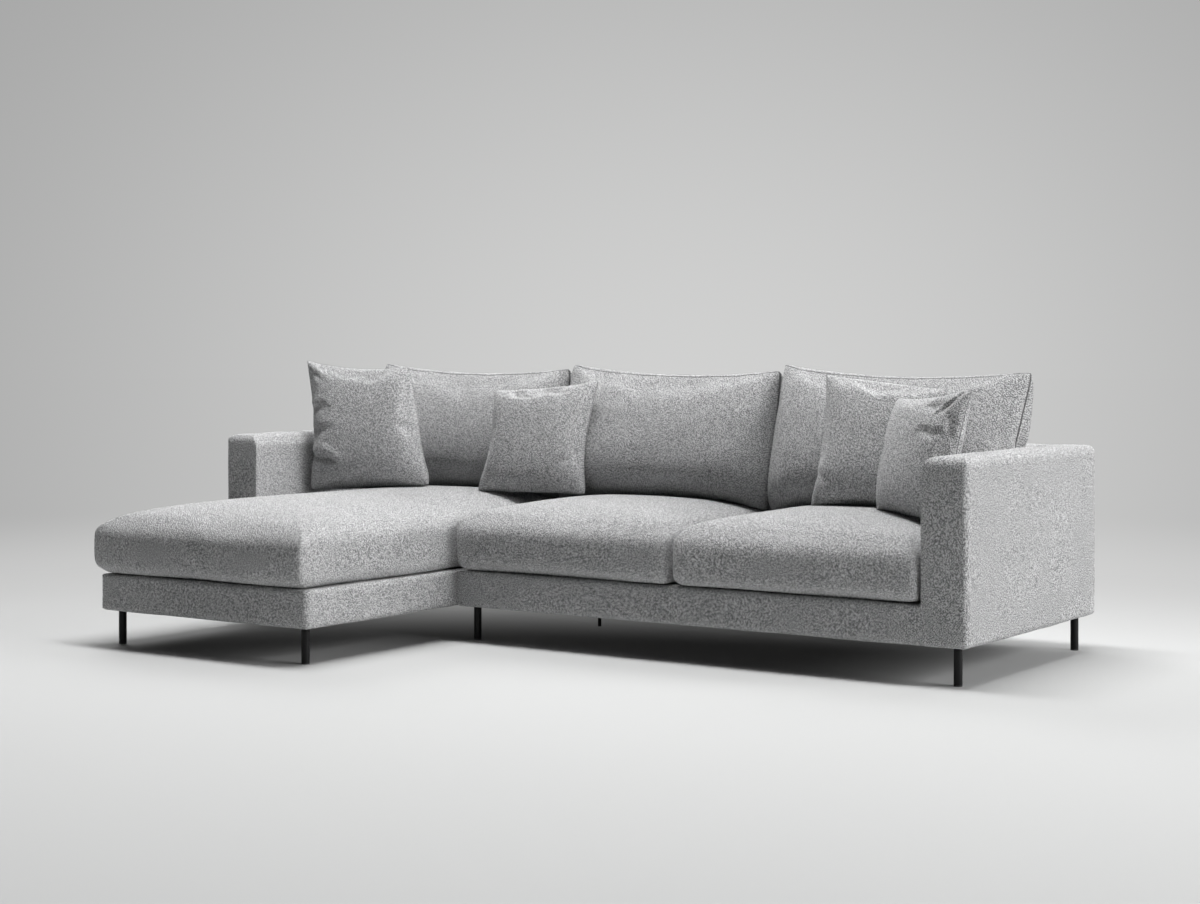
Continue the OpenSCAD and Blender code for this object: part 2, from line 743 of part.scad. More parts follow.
module sofa_side_rails() color("burlywood") place() at_sofa_base()
    side_rails(sofa_w, sofa_base_d, -sofa_d);

module sofa_end_rails() color("burlywood") place() at_sofa_base()
    end_rails(sofa_w, sofa_base_d);

module sofa_cross_rails() color("burlywood") place() at_sofa_base() difference() {
    for (x = [support_x, sofa_w / 2, sofa_w - support_x])
        translate([x - board_t / 2, rail_in, frame_z])
            cube([board_t, sofa_base_d - rail_in - rear_in, rail_h - cross_drop]);
    leg_bores([support_at], insert_d + hole_fit);
}

module sofa_corner_blocks() color("tan") place() at_sofa_base()
    corner_blocks(sofa_w, sofa_base_d, sofa_base_legs);

module sofa_long_straps() color("dimgray") place() at_sofa_base()
    long_straps(sofa_w, sofa_base_d);

module sofa_cross_straps() color("gray") place() at_sofa_base()
    cross_straps(sofa_w, sofa_base_d);

module sofa_deck() color("lightgray") place() at_sofa_base()
    deck(sofa_w, sofa_base_d);

module sofa_front_cover() color("darkgray") place() at_sofa_base()
    front_cover(sofa_w, sofa_base_d, meeting_r, meeting_r);

module sofa_side_covers() color("darkgray") place() at_sofa_base()
    side_covers(sofa_w, sofa_base_d, -sofa_d, meeting_r, meeting_r);

module sofa_dust_cover() color("black") place() at_sofa_base()
    dust_cover(sofa_w, sofa_base_d, concat(sofa_base_legs, [support_at]));

module sofa_back_frame() color("burlywood") place() at_sofa_back()
    panel_frame(back_t, sofa_w, back_bolt_x(sofa_w), sofa_back_legs, 5);

module sofa_back_pad() color("wheat") place() at_sofa_back()
    panel_padding(back_t, sofa_w, meeting_r, back_bolt_x(sofa_w));

module sofa_back_cover() color("darkgray") place() at_sofa_back()
    panel_cover(back_t, sofa_w, meeting_r, back_bolt_x(sofa_w));

module right_arm_frame() color("burlywood") place() at_right_arm()
    panel_frame(arm_t, sofa_d, arm_bolts, right_arm_legs, 3);

module right_arm_pad() color("wheat") place() at_right_arm()
    panel_padding(arm_t, sofa_d, panel_r, arm_bolts);

module right_arm_cover() color("darkgray") place() at_right_arm()
    panel_cover(arm_t, sofa_d, panel_r, arm_bolts);

panel_reach = frame_in + board_t;

module side_bolts() color("silver") place() for (y = side_bolt_y) translate([0, y, bolt_z]) {
    translate([chaise_x0, 0, 0]) mirror([1, 0, 0]) joint_bolt(rail_in, panel_reach);
    translate([chaise_x1, 0, 0]) joint_bolt(rail_in, rail_in);
    translate([sofa_x1, 0, 0]) joint_bolt(rail_in, panel_reach);
}

module side_nuts() color("silver") place() for (y = side_bolt_y) translate([0, y, bolt_z]) {
    translate([chaise_x0, 0, 0]) mirror([1, 0, 0]) joint_nut(panel_reach);
    translate([chaise_x1, 0, 0]) joint_nut(rail_in);
    translate([sofa_x1, 0, 0]) joint_nut(panel_reach);
}

// Back bolts run along Y; the base lies on their -X side once they are turned
module at_back_bolts() {
    for (x = back_bolt_x(chaise_w)) translate([chaise_x0 + x, -back_t, bolt_z]) rotate([0, 0, 90]) children();
    for (x = back_bolt_x(sofa_w)) translate([sofa_x0 + x, -back_t, bolt_z]) rotate([0, 0, 90]) children();
}

module back_bolts() color("silver") place() at_back_bolts() joint_bolt(rear_in, panel_reach);

module back_nuts() color("silver") place() at_back_bolts() joint_nut(panel_reach);

module chaise_legs() color([0.05, 0.05, 0.05]) place() legs_at(chaise_leg_xy);

module sofa_legs() color([0.05, 0.05, 0.05]) place() legs_at(sofa_leg_xy);

module support_leg() color([0.05, 0.05, 0.05]) place() at_sofa_base()
    translate([support_at.x, support_at.y, 0]) stud_leg(support_d, 0);

module leg_inserts() color("gold") place() {
    for (p = concat(chaise_leg_xy, sofa_leg_xy)) insert_at(p);
    at_sofa_base() insert_at(support_at);
}

module leg_glides() color([0.15, 0.15, 0.15]) place() {
    for (p = concat(chaise_leg_xy, sofa_leg_xy)) translate([p.x, p.y, 0]) {
        cylinder(h = glide_h, d = leg_d);
        cylinder(h = glide_h + plug_h, d = leg_d - 2 * leg_wall - hole_fit);
    }
    at_sofa_base() translate([support_at.x, support_at.y, 0]) cylinder(h = glide_h, d = support_d);
}

chaise_front_y = -chaise_d - seat_overhang;
sofa_front_y = -sofa_d - seat_overhang;
chaise_free_y = -sofa_d - (chaise_front_y + seat_back_y) / 2;

module chaise_cushion() color("gainsboro") place()
    seat_cushion(chaise_x0, chaise_x1, chaise_front_y, seat_back_y, [chaise_side_swell, chaise_free_y]);

module chaise_cushion_core() color("khaki") place()
    seat_core(chaise_x0, chaise_x1, chaise_front_y, seat_back_y);

module left_seat_cushion() color("gainsboro") place()
    seat_cushion(sofa_x0, sofa_x0 + seat_w, sofa_front_y, seat_back_y, [0, 0]);

module left_seat_core() color("khaki") place()
    seat_core(sofa_x0, sofa_x0 + seat_w, sofa_front_y, seat_back_y);

module right_seat_cushion() color("gainsboro") place()
    seat_cushion(sofa_x0 + seat_w, sofa_x1, sofa_front_y, seat_back_y, [0, 0]);

module right_seat_core() color("khaki") place()
    seat_core(sofa_x0 + seat_w, sofa_x1, sofa_front_y, seat_back_y);

module left_back_cushion() color("lightgray") place() back_cushion(0, arm_flare, 0);

module left_back_filling() color("ivory") place() back_filling(0);

module middle_back_cushion() color("lightgray") place() back_cushion(1, 0, 0);

module middle_back_filling() color("ivory") place() back_filling(1);

module right_back_cushion() color("lightgray") place() back_cushion(2, 0, arm_flare);

module right_back_filling() color("ivory") place() back_filling(2);

module large_scatter_left() color("whitesmoke") place() scatter(large_scatter, large_left_at);

module small_scatter_middle() color("whitesmoke") place() scatter(small_scatter, small_middle_at);

module large_scatter_right() color("whitesmoke") place() scatter(large_scatter, large_right_at);

module small_scatter_right() color("whitesmoke") place() scatter(small_scatter, small_right_at);

chaise_side_rails();
chaise_end_rails();
chaise_cross_rails();
chaise_corner_blocks();
chaise_long_straps();
chaise_cross_straps();
chaise_deck();
chaise_front_cover();
chaise_side_covers();
chaise_dust_cover();
chaise_back_frame();
chaise_back_pad();
chaise_back_cover();
left_arm_frame();
left_arm_pad();
left_arm_cover();
sofa_side_rails();
sofa_end_rails();
sofa_cross_rails();
sofa_corner_blocks();
sofa_long_straps();
sofa_cross_straps();
sofa_deck();
sofa_front_cover();
sofa_side_covers();
sofa_dust_cover();
sofa_back_frame();
sofa_back_pad();
sofa_back_cover();
right_arm_frame();
right_arm_pad();
right_arm_cover();
side_bolts();
side_nuts();
back_bolts();
back_nuts();
chaise_legs();
sofa_legs();
support_leg();
leg_inserts();
leg_glides();
chaise_cushion();
chaise_cushion_core();
left_seat_cushion();
left_seat_core();
right_seat_cushion();
right_seat_core();
left_back_cushion();
left_back_filling();
middle_back_cushion();
middle_back_filling();
right_back_cushion();
right_back_filling();
large_scatter_left();
small_scatter_middle();
large_scatter_right();
small_scatter_right();
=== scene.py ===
"""Cloth, cushions, timber and metal of an upholstered corner sofa, dressed on its CAD frame."""
import logging
import math
from collections.abc import Callable
from dataclasses import dataclass, field
from enum import Enum

import bpy
import numpy as np
from mathutils import Matrix, Vector
from mathutils.bvhtree import BVHTree
from mathutils.kdtree import KDTree


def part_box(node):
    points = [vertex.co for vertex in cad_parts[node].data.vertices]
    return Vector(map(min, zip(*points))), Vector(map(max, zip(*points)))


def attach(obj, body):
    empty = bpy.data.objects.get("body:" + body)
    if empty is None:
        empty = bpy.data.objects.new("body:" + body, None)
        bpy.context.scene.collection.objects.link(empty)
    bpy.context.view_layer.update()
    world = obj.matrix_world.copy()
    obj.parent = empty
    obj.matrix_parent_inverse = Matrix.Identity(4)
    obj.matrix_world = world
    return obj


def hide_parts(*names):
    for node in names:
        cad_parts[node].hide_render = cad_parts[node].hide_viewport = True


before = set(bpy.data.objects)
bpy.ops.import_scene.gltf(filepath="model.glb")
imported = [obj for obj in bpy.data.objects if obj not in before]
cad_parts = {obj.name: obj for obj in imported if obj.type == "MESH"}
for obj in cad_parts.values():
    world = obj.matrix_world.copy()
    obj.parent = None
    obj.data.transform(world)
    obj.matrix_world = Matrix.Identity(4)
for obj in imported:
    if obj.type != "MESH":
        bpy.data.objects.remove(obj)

LOG = logging.getLogger("sofa")
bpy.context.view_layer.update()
ON_FACE = 1e-6  # how near to a box's face a point counts as on it
FAR_SEAM = 0.03  # the seam distance of points that no seam is near
SKIN_GAP = 0.0006  # what stays free between two cloths that touch
RUB_REACH = 0.03  # how far from a box's edge its cloth is rubbed
FACE_SHIFT, REAR_SHIFT = 0.37, 0.71  # how far apart the faces' UVs start
WAVES = 10  # how many waves make up smooth noise
ABOVE, BEFORE = 0.8, -1.5  # a height above the seats and a Y in front of the sofa
CREASE = 0.55  # how firmly a sharp edge keeps its line when subdivided

Array = np.ndarray
Piece = bpy.types.Object
Material = bpy.types.Material
Pair = tuple[float, float]
Colour = tuple[float, float, float]
Place = tuple[float, float, float]
Radii = tuple[tuple[float, ...], ...]


# ------ shader maths


def add_node(tree: bpy.types.NodeTree, kind: str, settings: dict, inputs: dict) -> bpy.types.Node:
    """Add a node to any tree.

    Args:
        tree: the tree.
        kind: the node's type name.
        settings: properties set before the inputs; "ramp" holds a colour ramp's stops.
        inputs: socket name or number to a Val, a socket, a number or a tuple.

    Returns:
        The node.
    """
    node = tree.nodes.new(kind)
    for key, value in settings.items():
        if key == "ramp":
            stops = node.color_ramp.elements
            while len(stops) < len(value):
                stops.new(0.5)
            for stop, (place, colour) in zip(stops, value):
                stop.position = place
                stop.color = (*colour, 1.0)
        else:
            setattr(node, key, value)
    for key, value in inputs.items():
        value = value.socket if isinstance(value, Val) else value
        if isinstance(value, bpy.types.NodeSocket):
            tree.links.new(value, node.inputs[key])
        else:
            node.inputs[key].default_value = value
    return node


def _operator(operation: str, swapped: bool = False) -> Callable[["Val", "Val | float"], "Val"]:
    """A method of Val that adds one Math node, with the other term first if swapped."""

    def method(self: "Val", other: "Val | float") -> "Val":
        """This value and another through the operation."""
        terms = (other, self) if swapped else (self, other)
        return self.sheet.add("Math", {"operation": operation}, dict(enumerate(terms)))

    return method


class Val:
    """A node socket whose arithmetic adds Math nodes."""

    __add__, __radd__ = _operator("ADD"), _operator("ADD", True)
    __sub__, __rsub__ = _operator("SUBTRACT"), _operator("SUBTRACT", True)
    __mul__, __rmul__ = _operator("MULTIPLY"), _operator("MULTIPLY", True)
    larger = _operator("MAXIMUM")

    def __init__(self, sheet: "NodeSheet", socket: bpy.types.NodeSocket) -> None:
        self.sheet = sheet
        self.socket = socket

    def sine(self) -> "Val":
        """The sine of this value."""
        return self.sheet.add("Math", {"operation": "SINE"}, {0: self})

    def step(self, low: float, high: float) -> "Val":
        """A smooth step from 0 at low to 1 at high."""
        limits = {"Value": self, "From Min": low, "From Max": high}
        return self.sheet.add("MapRange", {"interpolation_type": "SMOOTHSTEP"}, limits)


class NodeSheet:
    """The node tree of one material or of the world."""

    def __init__(self, owner: Material | bpy.types.World) -> None:
        self.owner = owner
        owner.use_nodes = True
        self.tree = owner.node_tree
        self.tree.nodes.clear()

    def add(self, kind: str, settings: dict, inputs: dict, output: int | str = 0) -> Val:
        """Add a shader node as add_node does and hand back one of its outputs."""
        node = add_node(self.tree, "ShaderNode" + kind, settings, inputs)
        return Val(self, node.outputs[output])

    def coordinates(self, kind: str = "Object") -> Val:
        """Where the surface is, in metres."""
        return self.add("TexCoord", {}, {}, kind)

    def attribute(self, name: str) -> Val:
        """A value that the mesh carries."""
        return self.add("Attribute", {"attribute_name": name}, {}, "Fac")

    def noise(self, place: Val, scale: float, detail: float = 2.0, rough: float = 0.5) -> Val:
        """Noise of about one feature per 1 / scale metres."""
        inputs = {"Vector": place, "Scale": scale, "Detail": detail, "Roughness": rough}
        return self.add("TexNoise", {}, inputs)

    def blend(self, factor: Val | float, low: Val | Colour, high: Val | Colour) -> Val:
        """Mix two colours."""
        low, high = ((*c, 1.0) if isinstance(c, tuple) else c for c in (low, high))
        return self.add("Mix", {"data_type": "RGBA"}, {0: factor, 6: low, 7: high}, 2)

    def vector(self, operation: str, *terms: Val | Place, output: int | str = 0) -> Val:
        """One Vector Math node."""
        settings = {"operation": operation}
        return self.add("VectorMath", settings, dict(enumerate(terms)), output)

    def axes(self, place: Val) -> tuple[Val, ...]:
        """The X, Y and Z of a vector."""
        node = self.add("SeparateXYZ", {}, {0: place}).socket.node
        return tuple(Val(self, node.outputs[k]) for k in range(3))

    def stretched(self, place: Val, scale: Place) -> Val:
        """A place scaled on each axis."""
        return self.add("Mapping", {}, {"Vector": place, "Scale": scale})

    def finish(self, base: Val, rough: Val, height: Val, depth: float, **plain: float) -> Material:
        """Close the tree with a Principled shader.

        Args:
            base: the base colour.
            rough: the roughness.
            height: what the bump reads, from 0 to 1.
            depth: the bump's height in metres.
            plain: other sockets, set as numbers.

        Returns:
            The finished material.
        """
        bump = self.add("Bump", {}, {"Strength": 1.0, "Distance": depth, "Height": height})
        sockets = {"Base Color": base, "Roughness": rough, "Normal": bump}
        sockets |= {name.replace("_", " "): value for name, value in plain.items()}
        self.close(self.add("BsdfPrincipled", {}, sockets), "OutputMaterial")
        return self.owner

    def close(self, shader: Val, kind: str) -> None:
        """Link a shader to a new output node of that kind."""
        add_node(self.tree, "ShaderNode" + kind, {}, {"Surface": shader})

    def seen(self) -> Val:
        """1 on rays that show the surroundings themselves: camera, glossy, transmission."""
        node = self.add("LightPath", {}, {}).socket.node
        kinds = ("Camera", "Glossy", "Transmission")
        camera, glossy, through = (Val(self, node.outputs[f"Is {kind} Ray"]) for kind in kinds)
        return camera.larger(glossy).larger(through)


# ------ finishes


@dataclass(frozen=True)
class Finish:
    """What every finish shares: its name, and a material painted by place."""

    name: str

    def material(self) -> Material:
        """Build the finish's material."""
        sheet = NodeSheet(bpy.data.materials.new(self.name))
        return self.paint(sheet, sheet.coordinates())

    def paint(self, sheet: NodeSheet, place: Val) -> Material:
        """Add the finish's own nodes."""
        raise NotImplementedError


@dataclass(frozen=True)
class HeatheredCloth(Finish):
    """Light grey cloth spun from dark and pale fibres."""

    dark: Colour = (0.165, 0.166, 0.168)
    mid: Colour = (0.42, 0.421, 0.425)
    pale: Colour = (0.74, 0.741, 0.745)
    seam_shade: float = 0.0
    seam_width: float = 0.0032
    fleck: float = 285.0
    thread: float = 0.0076
    depth: float = 0.0031
    groove: float = 0.9

    def paint(self, sheet: NodeSheet, place: Val) -> Material:
        """Add fibres, weave, seam lines, paler worn edges, and painted shade where the mesh value
        is below 0.
        """
        fibres = sheet.noise(place, self.fleck, 1.0, 0.6)
        curls = sheet.noise(place, self.fleck * 2.7, 1.0)
        streaks = sheet.noise(place, 26.0, 3.0, 0.6)
        mottle = sheet.noise(place, 5.0)
        threads = self._threads(sheet)
        tone = fibres * 0.72 + curls * 0.16 + threads * 0.12
        ramp = [(0.43, self.dark), (0.5, self.mid), (0.57, self.pale)]
        colour = sheet.add("ValToRGB", {"ramp": ramp}, {"Fac": tone})
        shade = streaks.step(0.25, 0.75) * 0.10 + mottle.step(0.3, 0.7) * 0.07
        colour = sheet.blend(shade, colour, self.dark)
        line = 1.0 - sheet.attribute("seam").step(0.0004, self.seam_width)
        colour = sheet.blend(line * self.seam_shade, colour, (0.02, 0.02, 0.02))
        # the mesh value pales the cloth at worn edges where it is above 0, and paints shade where
        # it is below 0
        wear = sheet.attribute("wear")
        colour = sheet.blend(wear * 0.16, colour, self.pale)
        # painted shade: where the mesh value is below 0 the cloth darkens towards the dark fibres,
        # at the back cushions' feet
        colour = sheet.blend(0.0 - wear, colour, self.dark)
        height = tone * 0.8 + threads * 0.12 - line * self.groove
        return sheet.finish(
            colour, 0.82 + fibres * 0.16, height, self.depth,
            Sheen_Weight=0.08, Sheen_Roughness=0.5, Specular_IOR_Level=0.2,
        )

    def _threads(self, sheet: NodeSheet) -> Val:
        """Height of the plain weave, from 0 to 1."""
        turn = 2 * math.pi / self.thread
        flat = sheet.coordinates("UV")
        wobble = sheet.noise(flat, 70.0) * 9.0
        u, v, _ = sheet.axes(flat)
        return (u * turn + wobble).sine() * (v * turn + wobble).sine() * 0.5 + 0.5


@dataclass(frozen=True)
class PlainCloth(Finish):
    """A plain technical cloth: decking, dust cloth or webbing."""

    colour: Colour
    grain: float
    depth: float
    rough: float = 0.9

    def paint(self, sheet: NodeSheet, place: Val) -> Material:
        """Add the yarn and the weave."""
        fine = sheet.noise(place, self.grain, 3.0, 0.6)
        broad = sheet.noise(place, 9.0)
        pale = tuple(min(1.0, c * 1.35 + 0.01) for c in self.colour)
        colour = sheet.blend(fine * 0.7 + broad * 0.3, self.colour, pale)
        x, y, z = ((axis * 1500.0).sine() for axis in sheet.axes(place))
        height = fine * 0.6 + (x * y + y * z) * 0.2 + 0.2
        rough = self.rough + fine * 0.08
        return sheet.finish(colour, rough, height, self.depth, Specular_IOR_Level=0.2)


@dataclass(frozen=True)
class Foam(Finish):
    """Open cell foam or loose fibre, off white."""

    colour: Colour
    cells: float
    depth: float

    def paint(self, sheet: NodeSheet, place: Val) -> Material:
        """Add the pores and broad shading."""
        pores = sheet.add("TexVoronoi", {}, {"Vector": place, "Scale": self.cells})
        broad = sheet.noise(place, 7.0, 3.0, 0.6)
        shaded = tuple(c * 0.78 for c in self.colour)
        colour = sheet.blend(pores * 0.5 + broad * 0.4, self.colour, shaded)
        rough = 0.93 - broad * 0.08
        return sheet.finish(colour, rough, pores, self.depth, Specular_IOR_Level=0.15)


class Along(Enum):
    """How the axes shrink along which timber grain runs."""

    X = (0.06, 1.0, 1.0)
    Y = (1.0, 0.06, 1.0)


@dataclass(frozen=True)
class Timber(Finish):
    """Planed softwood with growth rings, fine pores and a few darker streaks."""

    along: Along
    pale: Colour = (0.60, 0.42, 0.24)
    dark: Colour = (0.36, 0.21, 0.10)

    def paint(self, sheet: NodeSheet, place: Val) -> Material:
        """Add the rings, pores and streaks."""
        grain = sheet.stretched(place, self.along.value)
        rings = sheet.noise(grain, 55.0, 4.0, 0.6)
        pores = sheet.noise(grain, 900.0, 2.0, 0.6)
        streaks = sheet.noise(grain, 14.0)
        mix = (rings * 16.0).sine() * 0.25 + rings * 0.5 + streaks * 0.25
        colour = sheet.blend(mix, self.pale, self.dark)
        colour = sheet.blend(pores.step(0.55, 0.75) * 0.25, colour, self.dark)
        return sheet.finish(colour, 0.55 + pores * 0.25, pores * 0.6 + rings * 0.4, 0.0004)


@dataclass(frozen=True)
class Metal(Finish):
    """Powder coated, plated or turned metal, or a hard plastic."""

    colour: Colour
    metallic: float
    rough: float
    grain: float
    depth: float
    gleam: float = 0.5

    def paint(self, sheet: NodeSheet, place: Val) -> Material:
        """Add the fine grain and scuffs."""
        fine = sheet.noise(place, self.grain, 3.0, 0.55)
        upright = sheet.stretched(place, (1.0, 1.0, 6.0))
        scuffs = sheet.noise(upright, 40.0, 4.0, 0.7).step(0.62, 0.8)
        pale = tuple(min(1.0, c * 1.5 + 0.006) for c in self.colour)
        colour = sheet.blend(fine * 0.35 + scuffs * 0.35, self.colour, pale)
        rough = self.rough + fine * 0.14 + scuffs * 0.1
        return sheet.finish(
            colour, rough, fine, self.depth, Metallic=self.metallic, Specular_IOR_Level=self.gleam
        )


@dataclass
class Wardrobe:
    """Every finish of the sofa, each built once."""

    materials: dict[str, Material] = field(init=False)

    FINISHES = (
        HeatheredCloth("frame_cloth", depth=0.0037, groove=0.0),
        HeatheredCloth("seat_cloth", depth=0.0040, groove=0.0),
        # the back cushions' cloth: the same cloth with a darker mid and pale tone, which paints
        # shade on the back cushions
        HeatheredCloth(
            "back_cloth", mid=(0.398, 0.399, 0.403), pale=(0.68, 0.681, 0.685),
            seam_shade=0.9, seam_width=0.0056, depth=0.0024,
        ),
        HeatheredCloth("scatter_cloth", seam_shade=0.5, seam_width=0.0040, depth=0.0030),
        PlainCloth("deck_cloth", (0.24, 0.242, 0.25), 420.0, 0.0005),
        PlainCloth("dust_cloth", (0.02, 0.02, 0.022), 700.0, 0.0003),
        PlainCloth("webbing", (0.05, 0.05, 0.055), 520.0, 0.0006),
        PlainCloth("sewing_thread", (0.30, 0.302, 0.31), 900.0, 0.0001, 0.7),
        Foam("seat_foam", (0.78, 0.72, 0.52), 420.0, 0.0007),
        Foam("fibre", (0.86, 0.85, 0.82), 160.0, 0.0015),
        Timber("timber_x", Along.X),
        Timber("timber_y", Along.Y),
        Metal("black_coat", (0.0030, 0.0030, 0.0033), 0.0, 0.44, 1400.0, 0.00006, gleam=0.22),
        Metal("zinc", (0.58, 0.58, 0.57), 1.0, 0.28, 900.0, 0.00005),
        Metal("brass", (0.62, 0.44, 0.18), 1.0, 0.3, 900.0, 0.00005),
        Metal("glide_plastic", (0.022, 0.022, 0.023), 0.0, 0.55, 1100.0, 0.00008),
    )

    def __post_init__(self) -> None:
        """Build all the finishes."""
        self.materials = {finish.name: finish.material() for finish in self.FINISHES}

    def __getitem__(self, name: str) -> Material:
        """The material of that name."""
        return self.materials[name]


# ------ cloth skins


def sheet_faces(ids: Array, u: Array, v: Array, flip: bool) -> tuple[Array, Array]:
    """Quads over a grid of points.

    Args:
        ids: the numbers of the grid's points.
        u: each point's place across the cloth.
        v: its place up the cloth.
        flip: whether the quads face the other way.

    Returns:
        The quads and their corners' UVs.
    """

    def corners(grid: Array) -> Array:
        """The grid's values at the four corners of each quad."""
        turn = [grid[:-1, :-1], grid[1:, :-1], grid[1:, 1:], grid[:-1, 1:]]
        return np.stack([c.reshape(-1) for c in (turn[::-1] if flip else turn)], axis=1)

    return corners(ids), np.stack([corners(u), corners(v)], axis=-1)


@dataclass
class Skin:
    """One cloth skin: points, quads, UVs, seam distances, worn edges and painted shade, and sharp
    edges' points.
    """

    points: Array
    quads: Array
    uvs: Array
    seam: Array
    wear: Array
    sharp: Array

    @classmethod
    def plain(cls, points: Array, sheets: list[tuple[Array, Array]]) -> "Skin":
        """A skin of several sheets, with no seam, worn edge, painted shade or sharp edge so far.
        """
        quads, uvs = (np.concatenate(parts) for parts in zip(*sheets))
        n = len(points)
        return cls(points, quads, uvs, np.full(n, FAR_SEAM), np.zeros(n), np.zeros(n, bool))

    @classmethod
    def over_box(cls, lines: list[Array]) -> "Skin":
        """A grid on the six faces of a box.

        Args:
            lines: places of the grid lines along X, Y and Z.

        Returns:
            The skin, its quads facing outwards and its UVs in metres.
        """
        shell = np.ones([len(places) for places in lines], bool)
        shell[1:-1, 1:-1, 1:-1] = False
        ids = np.cumsum(shell).reshape(shell.shape) - 1
        points = np.stack([lines[k][at] for k, at in enumerate(np.nonzero(shell))], axis=1)
        sheets = []
        for axis in range(3):
            u, v = np.meshgrid(*(lines[k] for k in range(3) if k != axis), indexing="ij")
            for side in (0, -1):
                shift = FACE_SHIFT * (axis * 2 + (side == 0))
                flip = (side == 0) != (axis == 1)
                sheets.append(sheet_faces(np.take(ids, side, axis=axis), u + shift, v, flip))
        return cls.plain(points, sheets)

    def normals(self) -> Array:
        """Unit normals of the points, from the quads round each."""
        p, q = self.points, self.quads
        facing = np.cross(p[q[:, 2]] - p[q[:, 0]], p[q[:, 3]] - p[q[:, 1]])
        total = np.zeros_like(p)
        for k in range(4):
            np.add.at(total, q[:, k], facing)
        return total / np.maximum(np.linalg.norm(total, axis=1, keepdims=True), 1e-12)

    def cut(self, keep: Array) -> "Skin":
        """The same skin with only the kept quads and their points."""
        used = np.unique(self.quads[keep])
        place = np.zeros(len(self.points), int)
        place[used] = np.arange(len(used))
        carried = (self.seam[used], self.wear[used], self.sharp[used])
        return Skin(self.points[used], place[self.quads[keep]], self.uvs[keep], *carried)

    def object(self, name: str) -> Piece:
        """Make the mesh and its object, linked to the scene."""
        mesh = bpy.data.meshes.new(name)
        mesh.from_pydata(self.points.tolist(), [], self.quads.tolist())
        layer = mesh.uv_layers.new(name="cloth")
        layer.data.foreach_set("uv", self.uvs.reshape(-1).astype(np.float32))
        for key, values in (("seam", self.seam), ("wear", self.wear)):
            attribute = mesh.attributes.new(key, "FLOAT", "POINT")
            attribute.data.foreach_set("value", values.astype(np.float32))
        if self.sharp.any():
            crease = mesh.attributes.new("crease_edge", "FLOAT", "EDGE")
            ends = np.zeros(len(mesh.edges) * 2, int)
            mesh.edges.foreach_get("vertices", ends)
            both = self.sharp[ends.reshape(-1, 2)].all(axis=1)
            crease.data.foreach_set("value", (both * CREASE).astype(np.float32))
            mesh.attributes.new("sharp_edge", "BOOLEAN", "EDGE").data.foreach_set("value", both)
        smooth(mesh)
        mesh.update()
        return linked(name, mesh)


def smooth(mesh: bpy.types.Mesh, wanted: bool = True) -> None:
    """Shade all faces smooth, or none."""
    mesh.polygons.foreach_set("use_smooth", np.full(len(mesh.polygons), wanted))


def linked(name: str, data: bpy.types.ID) -> Piece:
    """A new object in the scene."""
    made = bpy.data.objects.new(name, data)
    bpy.context.scene.collection.objects.link(made)
    return made


def stations(length: float, fine: float, coarse: float, reach: float) -> Array:
    """Places along an edge, close together near both ends.

    Args:
        length: the edge's length.
        fine: the spacing within reach of the ends.
        coarse: the spacing between.
        reach: how far the fine spacing goes.

    Returns:
        The places, from 0 to length.
    """
    reach = min(reach, length / 2.2)
    ends = np.linspace(0.0, reach, max(2, round(reach / fine) + 1))
    steps = max(2, round((length - 2 * reach) / coarse) + 1)
    middle = np.linspace(reach, length - reach, steps)
    return np.concatenate([ends, middle[1:-1], length - ends[::-1]])


def wander(points: Array, length: float, seed: int) -> Array:
    """Smooth noise from -1 to 1, summed from waves in fixed random directions.

    Args:
        points: where it is wanted.
        length: the usual wavelength in metres.
        seed: fixes the directions and phases.

    Returns:
        One value a point.
    """
    draw = np.random.default_rng(seed)
    total = np.zeros(len(points))
    for _ in range(WAVES):
        way = draw.normal(size=3)
        way *= 2 * math.pi / (np.linalg.norm(way) * length * draw.uniform(0.7, 1.6))
        total += np.sin(points @ way + draw.uniform(0, 2 * math.pi))
    return total / math.sqrt(WAVES) / 1.5


def outline_depth(places: Array, size: Array, radii: tuple[float, ...]) -> Array:
    """Signed distance to a rectangle whose corners have radii of their own.

    Args:
        places: places in its plane, inside from the origin to size.
        size: its width and height.
        radii: low left, low right, up right, up left.

    Returns:
        Distances, negative inside.
    """
    left, low = (places < size / 2).T
    r = np.where(left, np.where(low, radii[0], radii[3]), np.where(low, radii[1], radii[2]))
    off = np.abs(places - size / 2) - (size / 2 - r[:, None])
    return np.hypot(*np.maximum(off, 0).T) + np.minimum(off.max(axis=1), 0) - r


def rounded(points: Array, size: Array, radii: Radii, reach: float) -> Array:
    """Draw the points of a sharp box in to a block with soft edges.

    Args:
        points: points on the sharp box, from the origin to size.
        size: the box's size.
        radii: corner radii seen from above, from the front and from the side.
        reach: how far inside the anchors of the movement lie.

    Returns:
        The moved points.
    """
    inset = np.minimum(reach, size / 2.001)
    anchor = np.clip(points, inset, size - inset)
    way = points - anchor
    near, far = np.zeros(len(points)), np.ones(len(points))
    views = ([0, 1], [0, 2], [1, 2])
    for _ in range(26):  # halvings, to far below a micrometre
        t = (near + far) / 2
        p = anchor + way * t[:, None]
        depths = [outline_depth(p[:, view], size[view], r) for view, r in zip(views, radii)]
        inside = np.maximum.reduce(depths) < 0
        near, far = np.where(inside, t, near), np.where(inside, far, t)
    return anchor + way * near[:, None]


def near_lines(points: Array, marked: Array, most: float = FAR_SEAM) -> Array:
    """Distance from each point to the nearest marked one, up to most."""
    spots = points[marked]
    tree = KDTree(len(spots))
    for k, spot in enumerate(spots):
        tree.insert(spot, k)
    tree.balance()
    return np.array([min(most, tree.find(p)[2]) for p in points])


